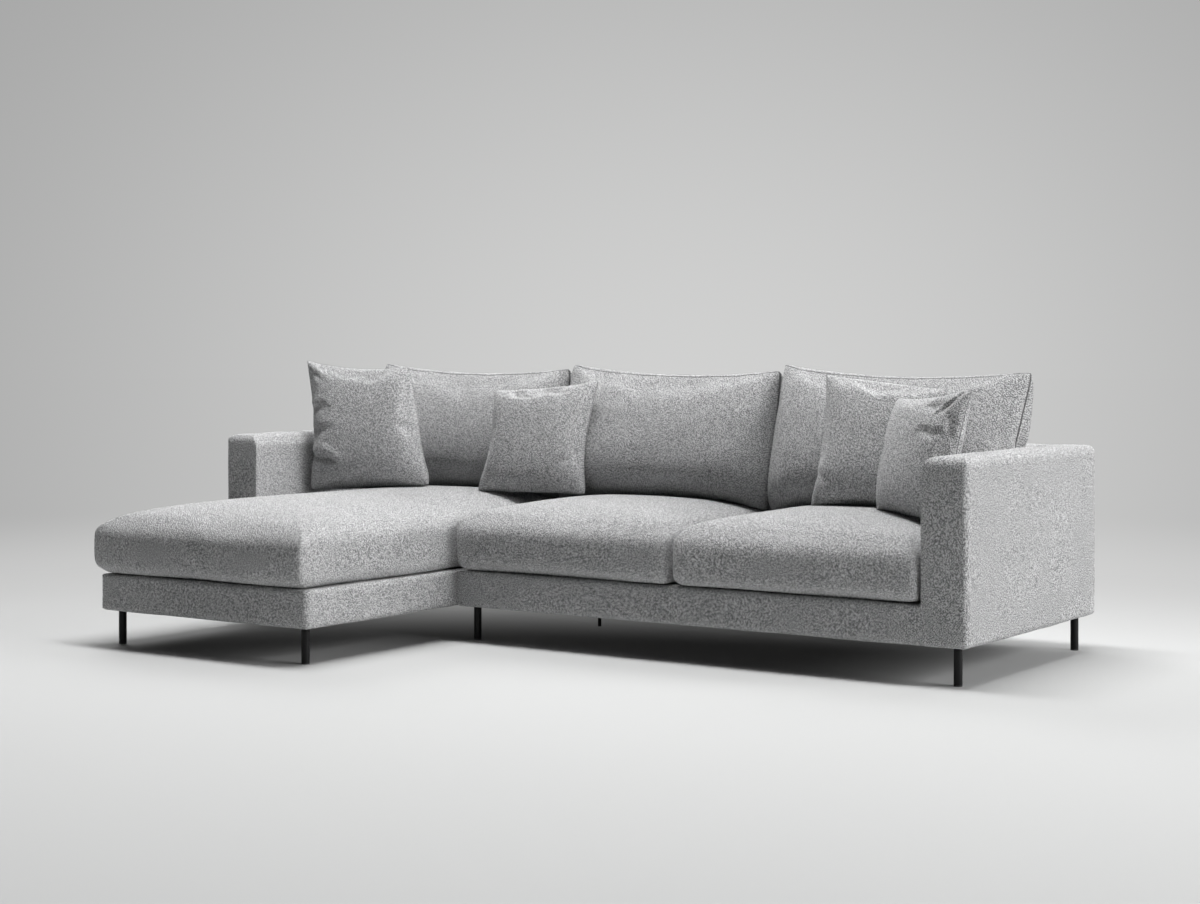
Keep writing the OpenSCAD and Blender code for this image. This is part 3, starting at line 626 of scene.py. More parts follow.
def fade(far: Array, reach: float) -> Array:
    """1 at distance 0, falling evenly to 0 at reach."""
    return np.clip(1 - far / reach, 0, 1)


def rubbed(points: Array, size: Array) -> Array:
    """1 on a box's edges, where cloth rubs, fading to 0 beside them."""
    return fade(np.sort(np.minimum(points, size - points), axis=1)[:, 1], RUB_REACH)


def capped(before: Array, after: Array, most: Array | float) -> Array:
    """Move points from before towards after, but softly no further than most."""
    way = after - before
    far = np.linalg.norm(way, axis=1, keepdims=True)
    most = np.broadcast_to(np.asarray(most, float).reshape(-1, 1), far.shape)
    return before + way * (most * np.tanh(far / np.maximum(most, 1e-9)) / np.maximum(far, 1e-9))


@dataclass
class Blower:
    """Fills cushion covers with air, all at once, as a stuffing does."""

    frames: int = 20
    helpers: dict[str, Piece] = field(default_factory=dict)

    SETTINGS = {
        "quality": 5, "mass": 0.25, "tension_stiffness": 18, "compression_stiffness": 18,
        "shear_stiffness": 6, "bending_stiffness": 0.35, "use_pressure": True,
    }

    def add(self, skin: Skin, name: str, pressure: float, growth: float) -> None:
        """Hand in a cover.

        Args:
            skin: the cover's shape.
            name: the piece's name.
            pressure: the air pressure.
            growth: how much longer than drawn its threads are, as a share.
        """
        helper = self.helpers[name] = skin.object("blow_" + name)
        cloth = helper.modifiers.new("Cloth", "CLOTH")
        air = {"uniform_pressure_force": pressure, "shrink_min": -growth}
        for key, value in (self.SETTINGS | air).items():
            setattr(cloth.settings, key, value)
        cloth.settings.effector_weights.gravity = 0.0
        cloth.collision_settings.use_collision = False
        cloth.point_cache.frame_end = self.frames

    def run(self) -> dict[str, Array]:
        """Step the simulation and remove the helpers.

        Returns:
            The blown covers' points by the pieces' names.
        """
        scene = bpy.context.scene
        for k in range(1, self.frames + 1):
            scene.frame_set(k)
        graph = bpy.context.evaluated_depsgraph_get()
        made = {
            name: np.array([v.co[:] for v in helper.evaluated_get(graph).data.vertices])
            for name, helper in self.helpers.items()
        }
        for helper in self.helpers.values():
            bpy.data.meshes.remove(helper.data)
        scene.frame_set(1)
        return made


def baked(piece: Piece, wanted: bool = True) -> Piece:
    """Apply a piece's modifiers to its mesh, and shade it smooth if wanted."""
    made = piece.evaluated_get(bpy.context.evaluated_depsgraph_get())
    mesh = bpy.data.meshes.new_from_object(made)
    old = piece.data
    piece.modifiers.clear()
    mesh.name = piece.name
    piece.data = mesh
    bpy.data.meshes.remove(old)
    smooth(mesh, wanted)
    return piece


def subdivided(piece: Piece) -> Piece:
    """Subdivide a piece once and apply it."""
    step = piece.modifiers.new("Subdivision", "SUBSURF")
    step.levels = step.render_levels = 1
    return baked(piece)


def dress(piece: Piece, body: str, slot: str, cloth: Material, fill: float, *nodes: str) -> None:
    """Give a padded piece its cloth and its body, and hide the nodes that it stands for.

    Args:
        piece: the finished piece.
        body: the CAD body that it rides on.
        slot: the record's material slot, not used.
        cloth: its finish.
        fill: how full of padding it is, not used.
        nodes: the CAD nodes that it replaces.
    """
    piece.data.materials.clear()
    piece.data.materials.append(cloth)
    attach(piece, body)
    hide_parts(*nodes)
    LOG.info("%s: %d faces, rides on %s", piece.name, len(piece.data.polygons), body)


# ------ rows of things


@dataclass
class Row:
    """Small things set along a path: stitches along a seam, staples along a board."""

    length: float
    thick: float
    pitch: float
    flat: bool = False

    def tree(self) -> bpy.types.NodeTree:
        """Build the Geometry Nodes tree with its sizes as named inputs."""
        tree = bpy.data.node_groups.new("row", "GeometryNodeTree")
        kinds = {"Path": "Geometry", "Finish": "Material"}
        for name in ("Path", "Pitch", "Length", "Thickness", "Finish"):
            kind = "NodeSocket" + kinds.get(name, "Float")
            tree.interface.new_socket(name, in_out="INPUT", socket_type=kind)
        tree.interface.new_socket("Things", in_out="OUTPUT", socket_type="NodeSocketGeometry")

        def add(kind: str, inputs: dict, **settings: str) -> bpy.types.NodeSocket:
            """The first output of a new node."""
            return add_node(tree, kind, settings, inputs).outputs[0]

        ins = add_node(tree, "NodeGroupInput", {}, {}).outputs
        curve = add("GeometryNodeMeshToCurve", {"Mesh": ins["Path"]})
        spaced = {"Curve": curve, "Length": ins["Pitch"]}
        even = add("GeometryNodeResampleCurve", spaced, mode="LENGTH")
        if self.flat:
            thing = add("GeometryNodeMeshCube", {"Size": (1.0, 1.0, 1.0)})
        else:
            thing = add("GeometryNodeMeshUVSphere", {"Segments": 6, "Rings": 5, "Radius": 0.5})
        thick = ins["Thickness"]
        size = add("ShaderNodeCombineXYZ", {0: ins["Length"], 1: thick, 2: thick})
        shaped = add("GeometryNodeTransform", {"Geometry": thing, "Scale": size})
        way = add("GeometryNodeInputTangent", {})
        turn = add("FunctionNodeAlignRotationToVector", {"Vector": way}, axis="X")
        places = {"Points": even, "Instance": shaped, "Rotation": turn}
        many = add("GeometryNodeInstanceOnPoints", places)
        real = add("GeometryNodeRealizeInstances", {"Geometry": many})
        done = add("GeometryNodeSetMaterial", {"Geometry": real, "Material": ins["Finish"]})
        add_node(tree, "NodeGroupOutput", {}, {"Things": done})
        return tree

    def along(self, name: str, loops: list[Array], finish: Material, body: str, slot: str) -> None:
        """Set the things along closed loops, as one plain mesh.

        Args:
            name: the piece's name.
            loops: one array of points for each loop.
            finish: the things' finish.
            body: the body that they ride on.
            slot: the record's material slot, not used.
        """
        points, edges = [], []
        for loop in loops:
            ids = len(points) + np.arange(len(loop))
            points.extend(loop.tolist())
            edges.extend(np.column_stack([ids, np.roll(ids, -1)]).tolist())
        path = bpy.data.meshes.new(name + "_path")
        path.from_pydata(points, edges, [])
        piece = linked(name, path)
        step = piece.modifiers.new("Row", "NODES")
        step.node_group = tree = self.tree()
        sizes = {"Pitch": self.pitch, "Length": self.length, "Thickness": self.thick}
        values = sizes | {"Finish": finish}
        for item in tree.interface.items_tree:
            if item.in_out == "INPUT" and item.name in values:
                step[item.identifier] = values[item.name]
        baked(piece, not self.flat)
        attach(piece, body)


# ------ upholstered panels


class Face(Enum):
    """A face of a panel's box: its axis, and 0 or 1 for its low or high end."""

    LEFT = (0, 0)
    RIGHT = (0, 1)
    FRONT = (1, 0)


@dataclass(frozen=True)
class Cut:
    """How a panel's or a band's skin is cut.

    beside are the faces that touch a base, which stay flat; crisp those whose edges
    meet another skin; fine and reach are the grid's spacing near the edges and how far
    it goes; anchor is how far inside the rounding starts.
    """

    radii: Radii
    beside: tuple[Face, ...]
    crisp: tuple[Face, ...]
    fine: float
    reach: float
    anchor: float


@dataclass
class PanelSuite:
    """The arms, the back panels and the bands of the bases: foam and cloth over timber."""

    wardrobe: Wardrobe
    top_r: float = 0.044
    outer_r: float = 0.029
    rear_r: float = 0.021
    nose_r: float = 0.026
    end_r: float = 0.015
    low_r: float = 0.018
    band_r: float = 0.011
    meet_r: float = 0.0012
    join_r: float = 0.0045
    stuffing: float = 0.0012
    crown: float = 0.0022
    ripple: float = 0.0008
    top_lip: float = 0.046
    under_lip: float = 0.020
    band_wall: float = 0.007
    coarse: float = 0.016
    # how strongly worn edges pale, evenly and in patches; the panels get no painted shade
    wear: Pair = (0.2, 0.2)
    fill: float = 0.95

    def panel(self, node: str, cut: Cut) -> None:
        """Make the cloth skin of an arm or a back panel from the cover node's box."""
        low, high = (np.array(c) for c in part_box(node))
        skin = Skin.over_box([stations(s, cut.fine, self.coarse, cut.reach) for s in high - low])
        self._shape(skin, low, high - low, cut)
        piece = skin.object(node.replace("_cover", "_upholstery"))
        self._dress(piece, node, node.replace("_cover", "_pad"))

    def band(self, module: str, cut: Cut) -> None:
        """Make the cloth band round a module's base: front, sides and turned in lips."""
        nodes = [f"{module}_{side}" for side in ("front_cover", "side_covers")]
        corners = np.array([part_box(node) for node in nodes])
        low, high = corners[:, 0].min(axis=0), corners[:, 1].max(axis=0)
        size = high - low
        skin = Skin.over_box([stations(s, cut.fine, self.coarse, cut.reach) for s in size])
        x, y, z = skin.points[skin.quads].mean(axis=1).T
        edge = np.minimum(np.minimum(x, size[0] - x), y)
        on_top = (z <= size[2] - ON_FACE) | (edge < self.top_lip)
        under = (z >= ON_FACE) | (edge < self.under_lip)
        skin = skin.cut((y <= size[1] - ON_FACE) & on_top & under)
        self._shape(skin, low, size, cut)
        piece = skin.object(f"{module}_base_band")
        wall = piece.modifiers.new("Wall", "SOLIDIFY")
        wall.thickness, wall.offset = self.band_wall, -1.0
        self._dress(baked(piece), *nodes)

    def _shape(self, skin: Skin, low: Array, size: Array, cut: Cut) -> None:
        """Round, stuff and rub a skin that lies sharp on a box, paling its worn edges."""
        flat = skin.points
        skin.points = rounded(flat, size, cut.radii, cut.anchor)
        swell = self._swell(flat, skin.points + low, size, cut.beside)
        even, patchy = self.wear
        skin.wear = rubbed(flat, size) * (even + patchy * wander(flat, 0.12, 16))
        on_edge = ((flat < ON_FACE) | (flat > size - ON_FACE)).sum(axis=1) >= 2
        skin.sharp = on_edge & self._on(cut.crisp, flat, size, ON_FACE)
        skin.points = skin.points + skin.normals() * swell[:, None] + low

    def _swell(self, flat: Array, at: Array, size: Array, beside: tuple[Face, ...]) -> Array:
        """How far each point stands proud: crowned free faces with a soft ripple."""
        mid = np.abs(flat / size * 2 - 1)
        faces = []
        for k in range(3):
            others = [j for j in range(3) if j != k]
            crowned = np.clip(1 - mid[:, others] ** 4, 0, 1).prod(axis=1)
            faces.append(crowned * (mid[:, k] > 0.999))
        free = np.maximum.reduce(faces)
        proud = self.stuffing + self.crown * free + self.ripple * wander(at, 0.16, 11)
        return proud * ~self._on(beside, flat, size, 0.002)

    @staticmethod
    def _on(faces: tuple[Face, ...], flat: Array, size: Array, near: float) -> Array:
        """Which points lie within near of one of the faces."""
        met = np.zeros(len(flat), bool)
        for axis, end in (face.value for face in faces):
            met |= np.abs(flat[:, axis] - end * size[axis]) < near
        return met

    def _dress(self, piece: Piece, *nodes: str) -> None:
        """Cover a piece of the frame that stands for those nodes."""
        dress(piece, "frame", "cover_cloth", self.wardrobe["frame_cloth"], self.fill, *nodes)

    def build(self) -> None:
        """Make the two arms, the two backs and the two bands."""
        b, e, j, m = self.low_r, self.end_r, self.join_r, self.meet_r
        n, o, r, t, d = self.nose_r, self.outer_r, self.rear_r, self.top_r, self.band_r
        left, right, front = (Face.LEFT,), (Face.RIGHT,), (Face.FRONT,)
        grid = (0.0055, 0.045, 0.046)
        arms = {
            "left": (((e, m, j, e), (b, m, t, o), (b, b, r, n)), right),
            "right": (((m, e, e, j), (m, b, o, t), (b, b, r, n)), left),
        }
        for side, (radii, beside) in arms.items():
            self.panel(f"{side}_arm_cover", Cut(radii, beside, beside, *grid))
        back = Cut(((m, m, j, j), (m, m, j, j), (m, b, t, t)), front, left + right, *grid)
        self.panel("chaise_back_cover", back)
        self.panel("sofa_back_cover", back)
        grid = (0.0058, self.top_lip, 0.04)
        free = ((b, b, m, m), (b, b, d, d), (b, m, m, d))
        closed = ((m, m, m, m), (m, m, m, m), (b, m, m, d))
        self.band("chaise", Cut(free, (), (), *grid))
        self.band("sofa", Cut(closed, left + right, left + right, *grid))


# ------ seat cushions


@dataclass
class SeatCushion:
    """A box cushion with a crowned top, soft edges and swollen borders."""

    name: str
    body: str
    node: str
    low: Pair
    high: Pair
    seed: int
    free_left: float = 0.0
    border: float = 0.172
    crown: float = 0.054
    reach: float = 0.38
    bulge: float = 0.021
    base_top: float = 0.2263
    top_r: float = 0.050
    low_r: float = 0.028
    plan_r: float = 0.018
    tuck: float = 0.009
    tuck_in: float = 0.045
    foot_h: float = 0.05
    crown_from: float = 0.35
    free_from: float = -0.12
    free_run: float = 0.25
    free_room: float = 0.045
    ripple: float = 0.0028
    broad: float = 0.0025
    slack: float = 0.004
    settle: float = 0.010
    edge_wear: float = 0.6
    fill: float = 0.85

    def drawn(self) -> Skin:
        """The cushion's cover as cut and filled, before the simulation."""
        size = self.size = np.array([*np.subtract(self.high, self.low), self.border])
        spacing = ((0.022, 0.055), (0.022, 0.055), (0.018, 0.044))
        skin = Skin.over_box([stations(s, 0.011, *room) for s, room in zip(size, spacing)])
        flat = self.flat = skin.points
        r, b, t = self.plan_r, self.low_r, self.top_r
        shaped = rounded(flat, size, ((r, r, r, r), (b, b, t, t), (b, b, t, t)), 0.05)
        half = size[:2] / 2
        out = shaped[:, :2] - half
        level = shaped[:, 2] / size[2]
        share = np.clip((half - np.abs(out)) / self.reach, 1e-4, 1)
        share = (share ** -4).sum(axis=1) ** -0.25
        rise = self.crown * (1 - (1 - share) ** 2.2)
        lifted = np.clip((level - self.crown_from) / (1 - self.crown_from), 0, 1)
        shaped[:, 2] += rise * lifted ** 1.5
        swell = np.clip(1 - (2 * level - 1.0) ** 4, 0, 1)
        near = (out < 0) * (np.abs(out) / half) ** 6
        along = 1 - 0.35 * np.abs(out[:, 0] / half[0]) ** 6
        shaped[:, 1] -= self.bulge * swell * along * near[:, 1]
        ahead = self.free_from - shaped[:, 1] - self.low[1]
        freed = np.clip(ahead / self.free_run, 0, 1)
        shaped[:, 0] -= self.free_left * swell * near[:, 0] * freed
        to_edge = np.minimum(half[0] - np.abs(out[:, 0]), shaped[:, 1])
        foot = fade(flat[:, 2], self.foot_h)
        shaped[:, 2] += self.tuck * fade(to_edge, self.foot_h) ** 2 * foot
        ends = (flat < ON_FACE) | (flat > size - ON_FACE)
        self.seams = ends[:, :2].any(axis=1) & ends[:, 2]
        skin.points = shaped + [*self.low, self.base_top]
        return skin

    def _puckers(self, points: Array) -> Array:
        """Small pulls in the cloth beside the upper seams and along the lower edge."""
        height = self.flat[:, 2]
        to_seam = near_lines(points, self.seams & (height > 0.01), 0.12)
        ripple = wander(points * [1, 1, 0.35], 0.085, self.seed) * self.ripple
        broad = wander(points, 0.45, self.seed + 1) * self.broad
        slack = wander(points * [1, 1, 0.1], 0.5, self.seed + 2) * self.slack
        at_seam, at_foot = np.exp(-((to_seam / 0.045) ** 2)), np.exp(-((height / 0.04) ** 2))
        return ripple * at_seam + broad + slack * at_foot

    def _keep_clear(self, points: Array) -> None:
        """Hold the cover off its neighbours, and off the base with a gap along its edge."""
        x, y = self.flat[:, 0], self.flat[:, 1]
        inward = np.minimum(np.minimum(x, self.size[0] - x), y)
        wave = 0.8 + 0.25 * np.cos(x / self.size[0] * 8.4 + self.seed)
        gap = self.tuck * wave * fade(inward, self.tuck_in) ** 0.6
        points[:, 2] = np.maximum(points[:, 2], self.base_top + 0.0002 + gap)
        free = (self.free_left > 0) & (points[:, 1] < self.free_from - 0.005)
        left = self.low[0] - np.where(free, self.free_room, SKIN_GAP)
        points[:, 0] = np.clip(points[:, 0], left, self.high[0] + SKIN_GAP)
        points[:, 1] = np.minimum(points[:, 1], self.high[1])

    def build(self, wardrobe: Wardrobe, skin: Skin, blown: Array | None) -> Piece:
        """Finish the cushion.

        Args:
            wardrobe: the finishes.
            skin: the drawn cover.
            blown: its points after the simulation, if it ran.

        Returns:
            The finished piece.
        """
        if blown is not None:
            skin.points = capped(skin.points, blown, self.settle)
        skin.points = skin.points + skin.normals() * self._puckers(skin.points)[:, None]
        self._keep_clear(skin.points)
        skin.seam = near_lines(skin.points, self.seams)
        skin.wear = rubbed(self.flat, self.size) * self.edge_wear
        piece = subdivided(skin.object(self.name))
        dress(piece, self.body, "cushion_cloth", wardrobe["seat_cloth"], self.fill, self.node)
        return piece


# ------ pillow forms


@dataclass(frozen=True)
class Crease:
    """A fold pressed into a pillow's face, from place to place in shares of its half size."""

    start: Pair
    end: Pair
    depth: float
    width: float


def held_off(points: Array, surface: BVHTree, axis: int, start: float, gap: float) -> None:
    """Move points that lie behind a surface back in front of it.

    Args:
        points: the points, changed in place.
        surface: the surface.
        axis: the axis along which it is looked at, towards 0 and beyond.
        start: where on that axis the look starts.
        gap: how far in front of the surface the points end.
    """
    ahead = -math.copysign(1.0, start)
    way = Vector((0.0, 0.0, 0.0))
    way[axis] = ahead
    for p in points:
        origin = Vector(p)
        origin[axis] = start
        hit = surface.ray_cast(origin, way)[0]
        if hit is not None and (p[axis] - hit[axis]) * ahead > -gap:
            p[axis] = hit[axis] - ahead * gap


@dataclass
class Pillow:
    """Two cloth faces sewn along a knife edge: a back or a scatter cushion.

    corners are shifts of the lower left, lower right, upper right and upper left corner;
    soil is painted shade: how much darker the cloth is painted towards the foot, and how
    far up; inset moves the seam line from the upper edge on to the face; side_room is how far
    the upper part may widen.
    """

    name: str
    body: str
    node: str
    place: Place
    seed: int
    slot: str
    cloth: str
    size: Pair
    lean: float
    turn: float = 0.0
    roll: float = 0.0
    front: float = 0.062
    rear: float = 0.062
    draw: float = 0.015
    sag: float = 0.015
    lift: float = 0.004
    low: float = 0.0
    flat: float = 1.0
    flare: Pair = (0.0, 0.0)
    flare_from: float = 0.0
    cells: tuple[int, int] = (60, 60)
    fullness: Pair = (3.0, 2.3)
    power: float = 0.48
    corner_round: float = 0.007
    corners: tuple[Pair, ...] = ()
    corner_power: float = 2.5
    rim_cap: float = 0.003
    rear_over: Pair = (0.0, 0.0)
    crowding: float = 0.45
    side_room: Pair = (0.05, 0.05)
    pressure: float = 3.0
    growth: float = 0.05
    cap: Pair = (0.014, 0.004)
    fill: float = 0.7
    creases: tuple[Crease, ...] = ()
    # painted shade: how much darker the cloth is painted towards the foot, and how far up
    soil: Pair = (0.0, 0.1)
    inset: float = 0.0
    ripple: float = 0.0016
    edge_room: float = 0.0011
    edge_wear: float = 0.5
    edge_reach: float = 0.02
    seam_reach: float = 0.06

    def drawn(self) -> Skin:
        """The pillow's skin in its own frame: seam in the plane Y = 0, lower edge on Z = 0."""
        (n, m), (w, h), share = self.cells, self.size, self.crowding
        even = (np.linspace(-1, 1, k + 1) for k in (n, m))
        ticks = ((1 - share) * k + share * np.sin(k * math.pi / 2) for k in even)
        a, b = np.meshgrid(*ticks, indexing="ij")
        full_a, full_b = (1 - np.abs(k) ** p for k, p in zip((a, b), self.fullness))
        swell = np.clip(full_a * full_b, 0, None) ** self.power * (1 - self.low * b)
        z = h / 2 * (1 + b) - np.where(b > 0, self.sag, self.lift) * b * (1 - a ** 2)
        rise = np.clip((z - self.flare_from) / (h - self.flare_from), 0, 1)
        side = np.where(a < 0, -self.flare[0], self.flare[1])
        x = w / 2 * a - self.draw * a * (1 - b ** 2) + side * a ** 2 * rise
        trim = self.corner_round * np.abs(a * b) ** 12
        x, z = x - np.sign(a) * trim, z - np.sign(b) * trim
        for (dx, dz), (sa, sb) in zip(self.corners, ((-1, -1), (1, -1), (1, 1), (-1, 1))):
            weight = ((1 + sa * a) * (1 + sb * b) / 4) ** self.corner_power
            x, z = x + dx * weight, z + dz * weight
        front = np.stack([x, -self.front * swell, z], axis=-1)
        over = np.clip(self.rear * swell / 0.04, 0, 1)
        rear_x = x + np.sign(a) * np.abs(a) ** 6 * over * self.rear_over[0]
        rear_z = z + np.clip(b, 0, 1) ** 6 * over * self.rear_over[1]
        rear = np.stack([rear_x, np.minimum(self.rear * swell, self.flat), rear_z], axis=-1)
        inner = np.zeros((n + 1, m + 1), bool)
        inner[1:-1, 1:-1] = True
        ids = np.arange(inner.size).reshape(inner.shape)
        rear_ids = ids.copy()
        rear_ids[inner] = inner.size + np.arange(inner.sum())
        self.face = np.concatenate([inner.reshape(-1) * 1, -np.ones(inner.sum())])
        self.rim = self.face == 0
        spread = np.stack([a, b], axis=-1)
        self.spread = np.concatenate([spread.reshape(-1, 2), spread[inner]])
        self.loop = np.concatenate([ids[:, 0], ids[-1, 1:], ids[-2::-1, -1], ids[0, -2:0:-1]])
        across, up = w / 2 * (1 + a), h / 2 * (1 + b)
        faces = [
            sheet_faces(ids, across, up, False),
            sheet_faces(rear_ids, across + REAR_SHIFT, up, True),
        ]
        skin = Skin.plain(np.concatenate([front.reshape(-1, 3), rear[inner]]), faces)
        skin.sharp = self.rim.copy()
        return skin

    def _pressed(self) -> Array:
        """How far the folds push the cloth along its normals: a valley under a ridge."""
        half = np.array(self.size) / 2
        where = self.spread * half
        bent = np.column_stack([where, np.zeros(len(where))])
        shift = [wander(bent, 0.05, self.seed + 3), wander(bent, 0.04, self.seed + 4)]
        where = where + 0.006 * np.column_stack(shift)
        push = np.zeros(len(where))
        for crease in self.creases:
            start, end = np.array(crease.start) * half, np.array(crease.end) * half
            way = end - start
            t = np.clip(((where - start) @ way) / (way @ way), 0, 1)
            off = where - start - t[:, None] * way
            far = np.linalg.norm(off, axis=1)
            upward = np.array([-way[1], way[0]]) * (1 if way[0] > 0 else -1)
            above = np.where(off @ upward > 0, 1.0, -1.0)
            taper = np.clip(np.sin(math.pi * (0.1 + 0.8 * t)), 0, 1) ** 0.7
            signed = far * above / crease.width
            valley = np.exp(-(signed ** 2)) * (far < 3 * crease.width)
            ridge = np.exp(-((signed - 1.7) ** 2))
            push += crease.depth * taper * (0.4 * ridge - valley)
        return push * (self.face > 0)

    def _moved(self, points: Array) -> Array:
        """Points of the pillow's own frame in the CAD frame."""
        turns = ((self.turn, "Z"), (-self.lean, "X"), (self.roll, "Y"))
        about_z, about_x, about_y = (Matrix.Rotation(math.radians(a), 3, k) for a, k in turns)
        return points @ np.array(about_z @ about_x @ about_y).T + np.array(self.place)

    def build(
        self,
        wardrobe: Wardrobe,
        skin: Skin,
        blown: Array | None,
        seats: BVHTree,
        behind: BVHTree | None,
    ) -> Piece:
        """Finish the pillow.

        Args:
            wardrobe: the finishes.
            skin: the drawn skin.
            blown: its points after the simulation, if it ran.
            seats: the seat cushions' surfaces, which it has to clear.
            behind: the surfaces that it leans on, if any.

        Returns:
            The finished piece.
        """
        a, b = self.spread.T
        if blown is not None:
            most = np.where(self.face < 0, self.cap[1], self.cap[0])
            inside = np.clip((1 - np.abs(self.spread).max(axis=1)) / 0.25, 0, 1)
            skin.points = capped(skin.points, blown, self.rim_cap + (most - self.rim_cap) * inside)
        wave = wander(skin.points, 0.14, self.seed) * self.ripple
        push = self._pressed() + wave * (1 - self.rim)
        points = skin.points + skin.normals() * push[:, None]
        rise = np.clip((points[:, 2] - self.flare_from) / 0.04, 0, 1)
        edge = self.size[0] / 2 + self.edge_room
        left, right = (edge + room * rise for room in self.side_room)
        left = left + max(-self.corners[3][0], 0) * b.clip(0, 1) ** 2
        points[:, 0] = np.clip(points[:, 0], -left, right)
        points[:, 1] = np.minimum(points[:, 1], self.flat)
        # painted shade at the foot, strongest at the lower edge and gone at the given height
        foot = fade(points[:, 2], self.soil[1]) ** 1.4
        skin.points = points = self._moved(points)
        held_off(points, seats, 2, ABOVE, SKIN_GAP)
        if behind is not None:
            held_off(points, behind, 1, BEFORE, 2 * SKIN_GAP)
        to_rim = near_lines(points, self.rim, self.seam_reach)
        line = self.inset * (1 - np.abs(a) ** 10) * (b > 0) * (self.face >= 0)
        skin.seam = np.abs(to_rim - line)
        worn = fade(to_rim, self.edge_reach) * self.edge_wear
        # paler worn edges above 0; painted shade at the foot below 0
        skin.wear = worn * (foot == 0) - self.soil[0] * foot
        self.seam_path = points[self.loop]
        piece = subdivided(skin.object(self.name))
        dress(piece, self.body, self.slot, wardrobe[self.cloth], self.fill, self.node)
        return piece


# ------ whole assemblies


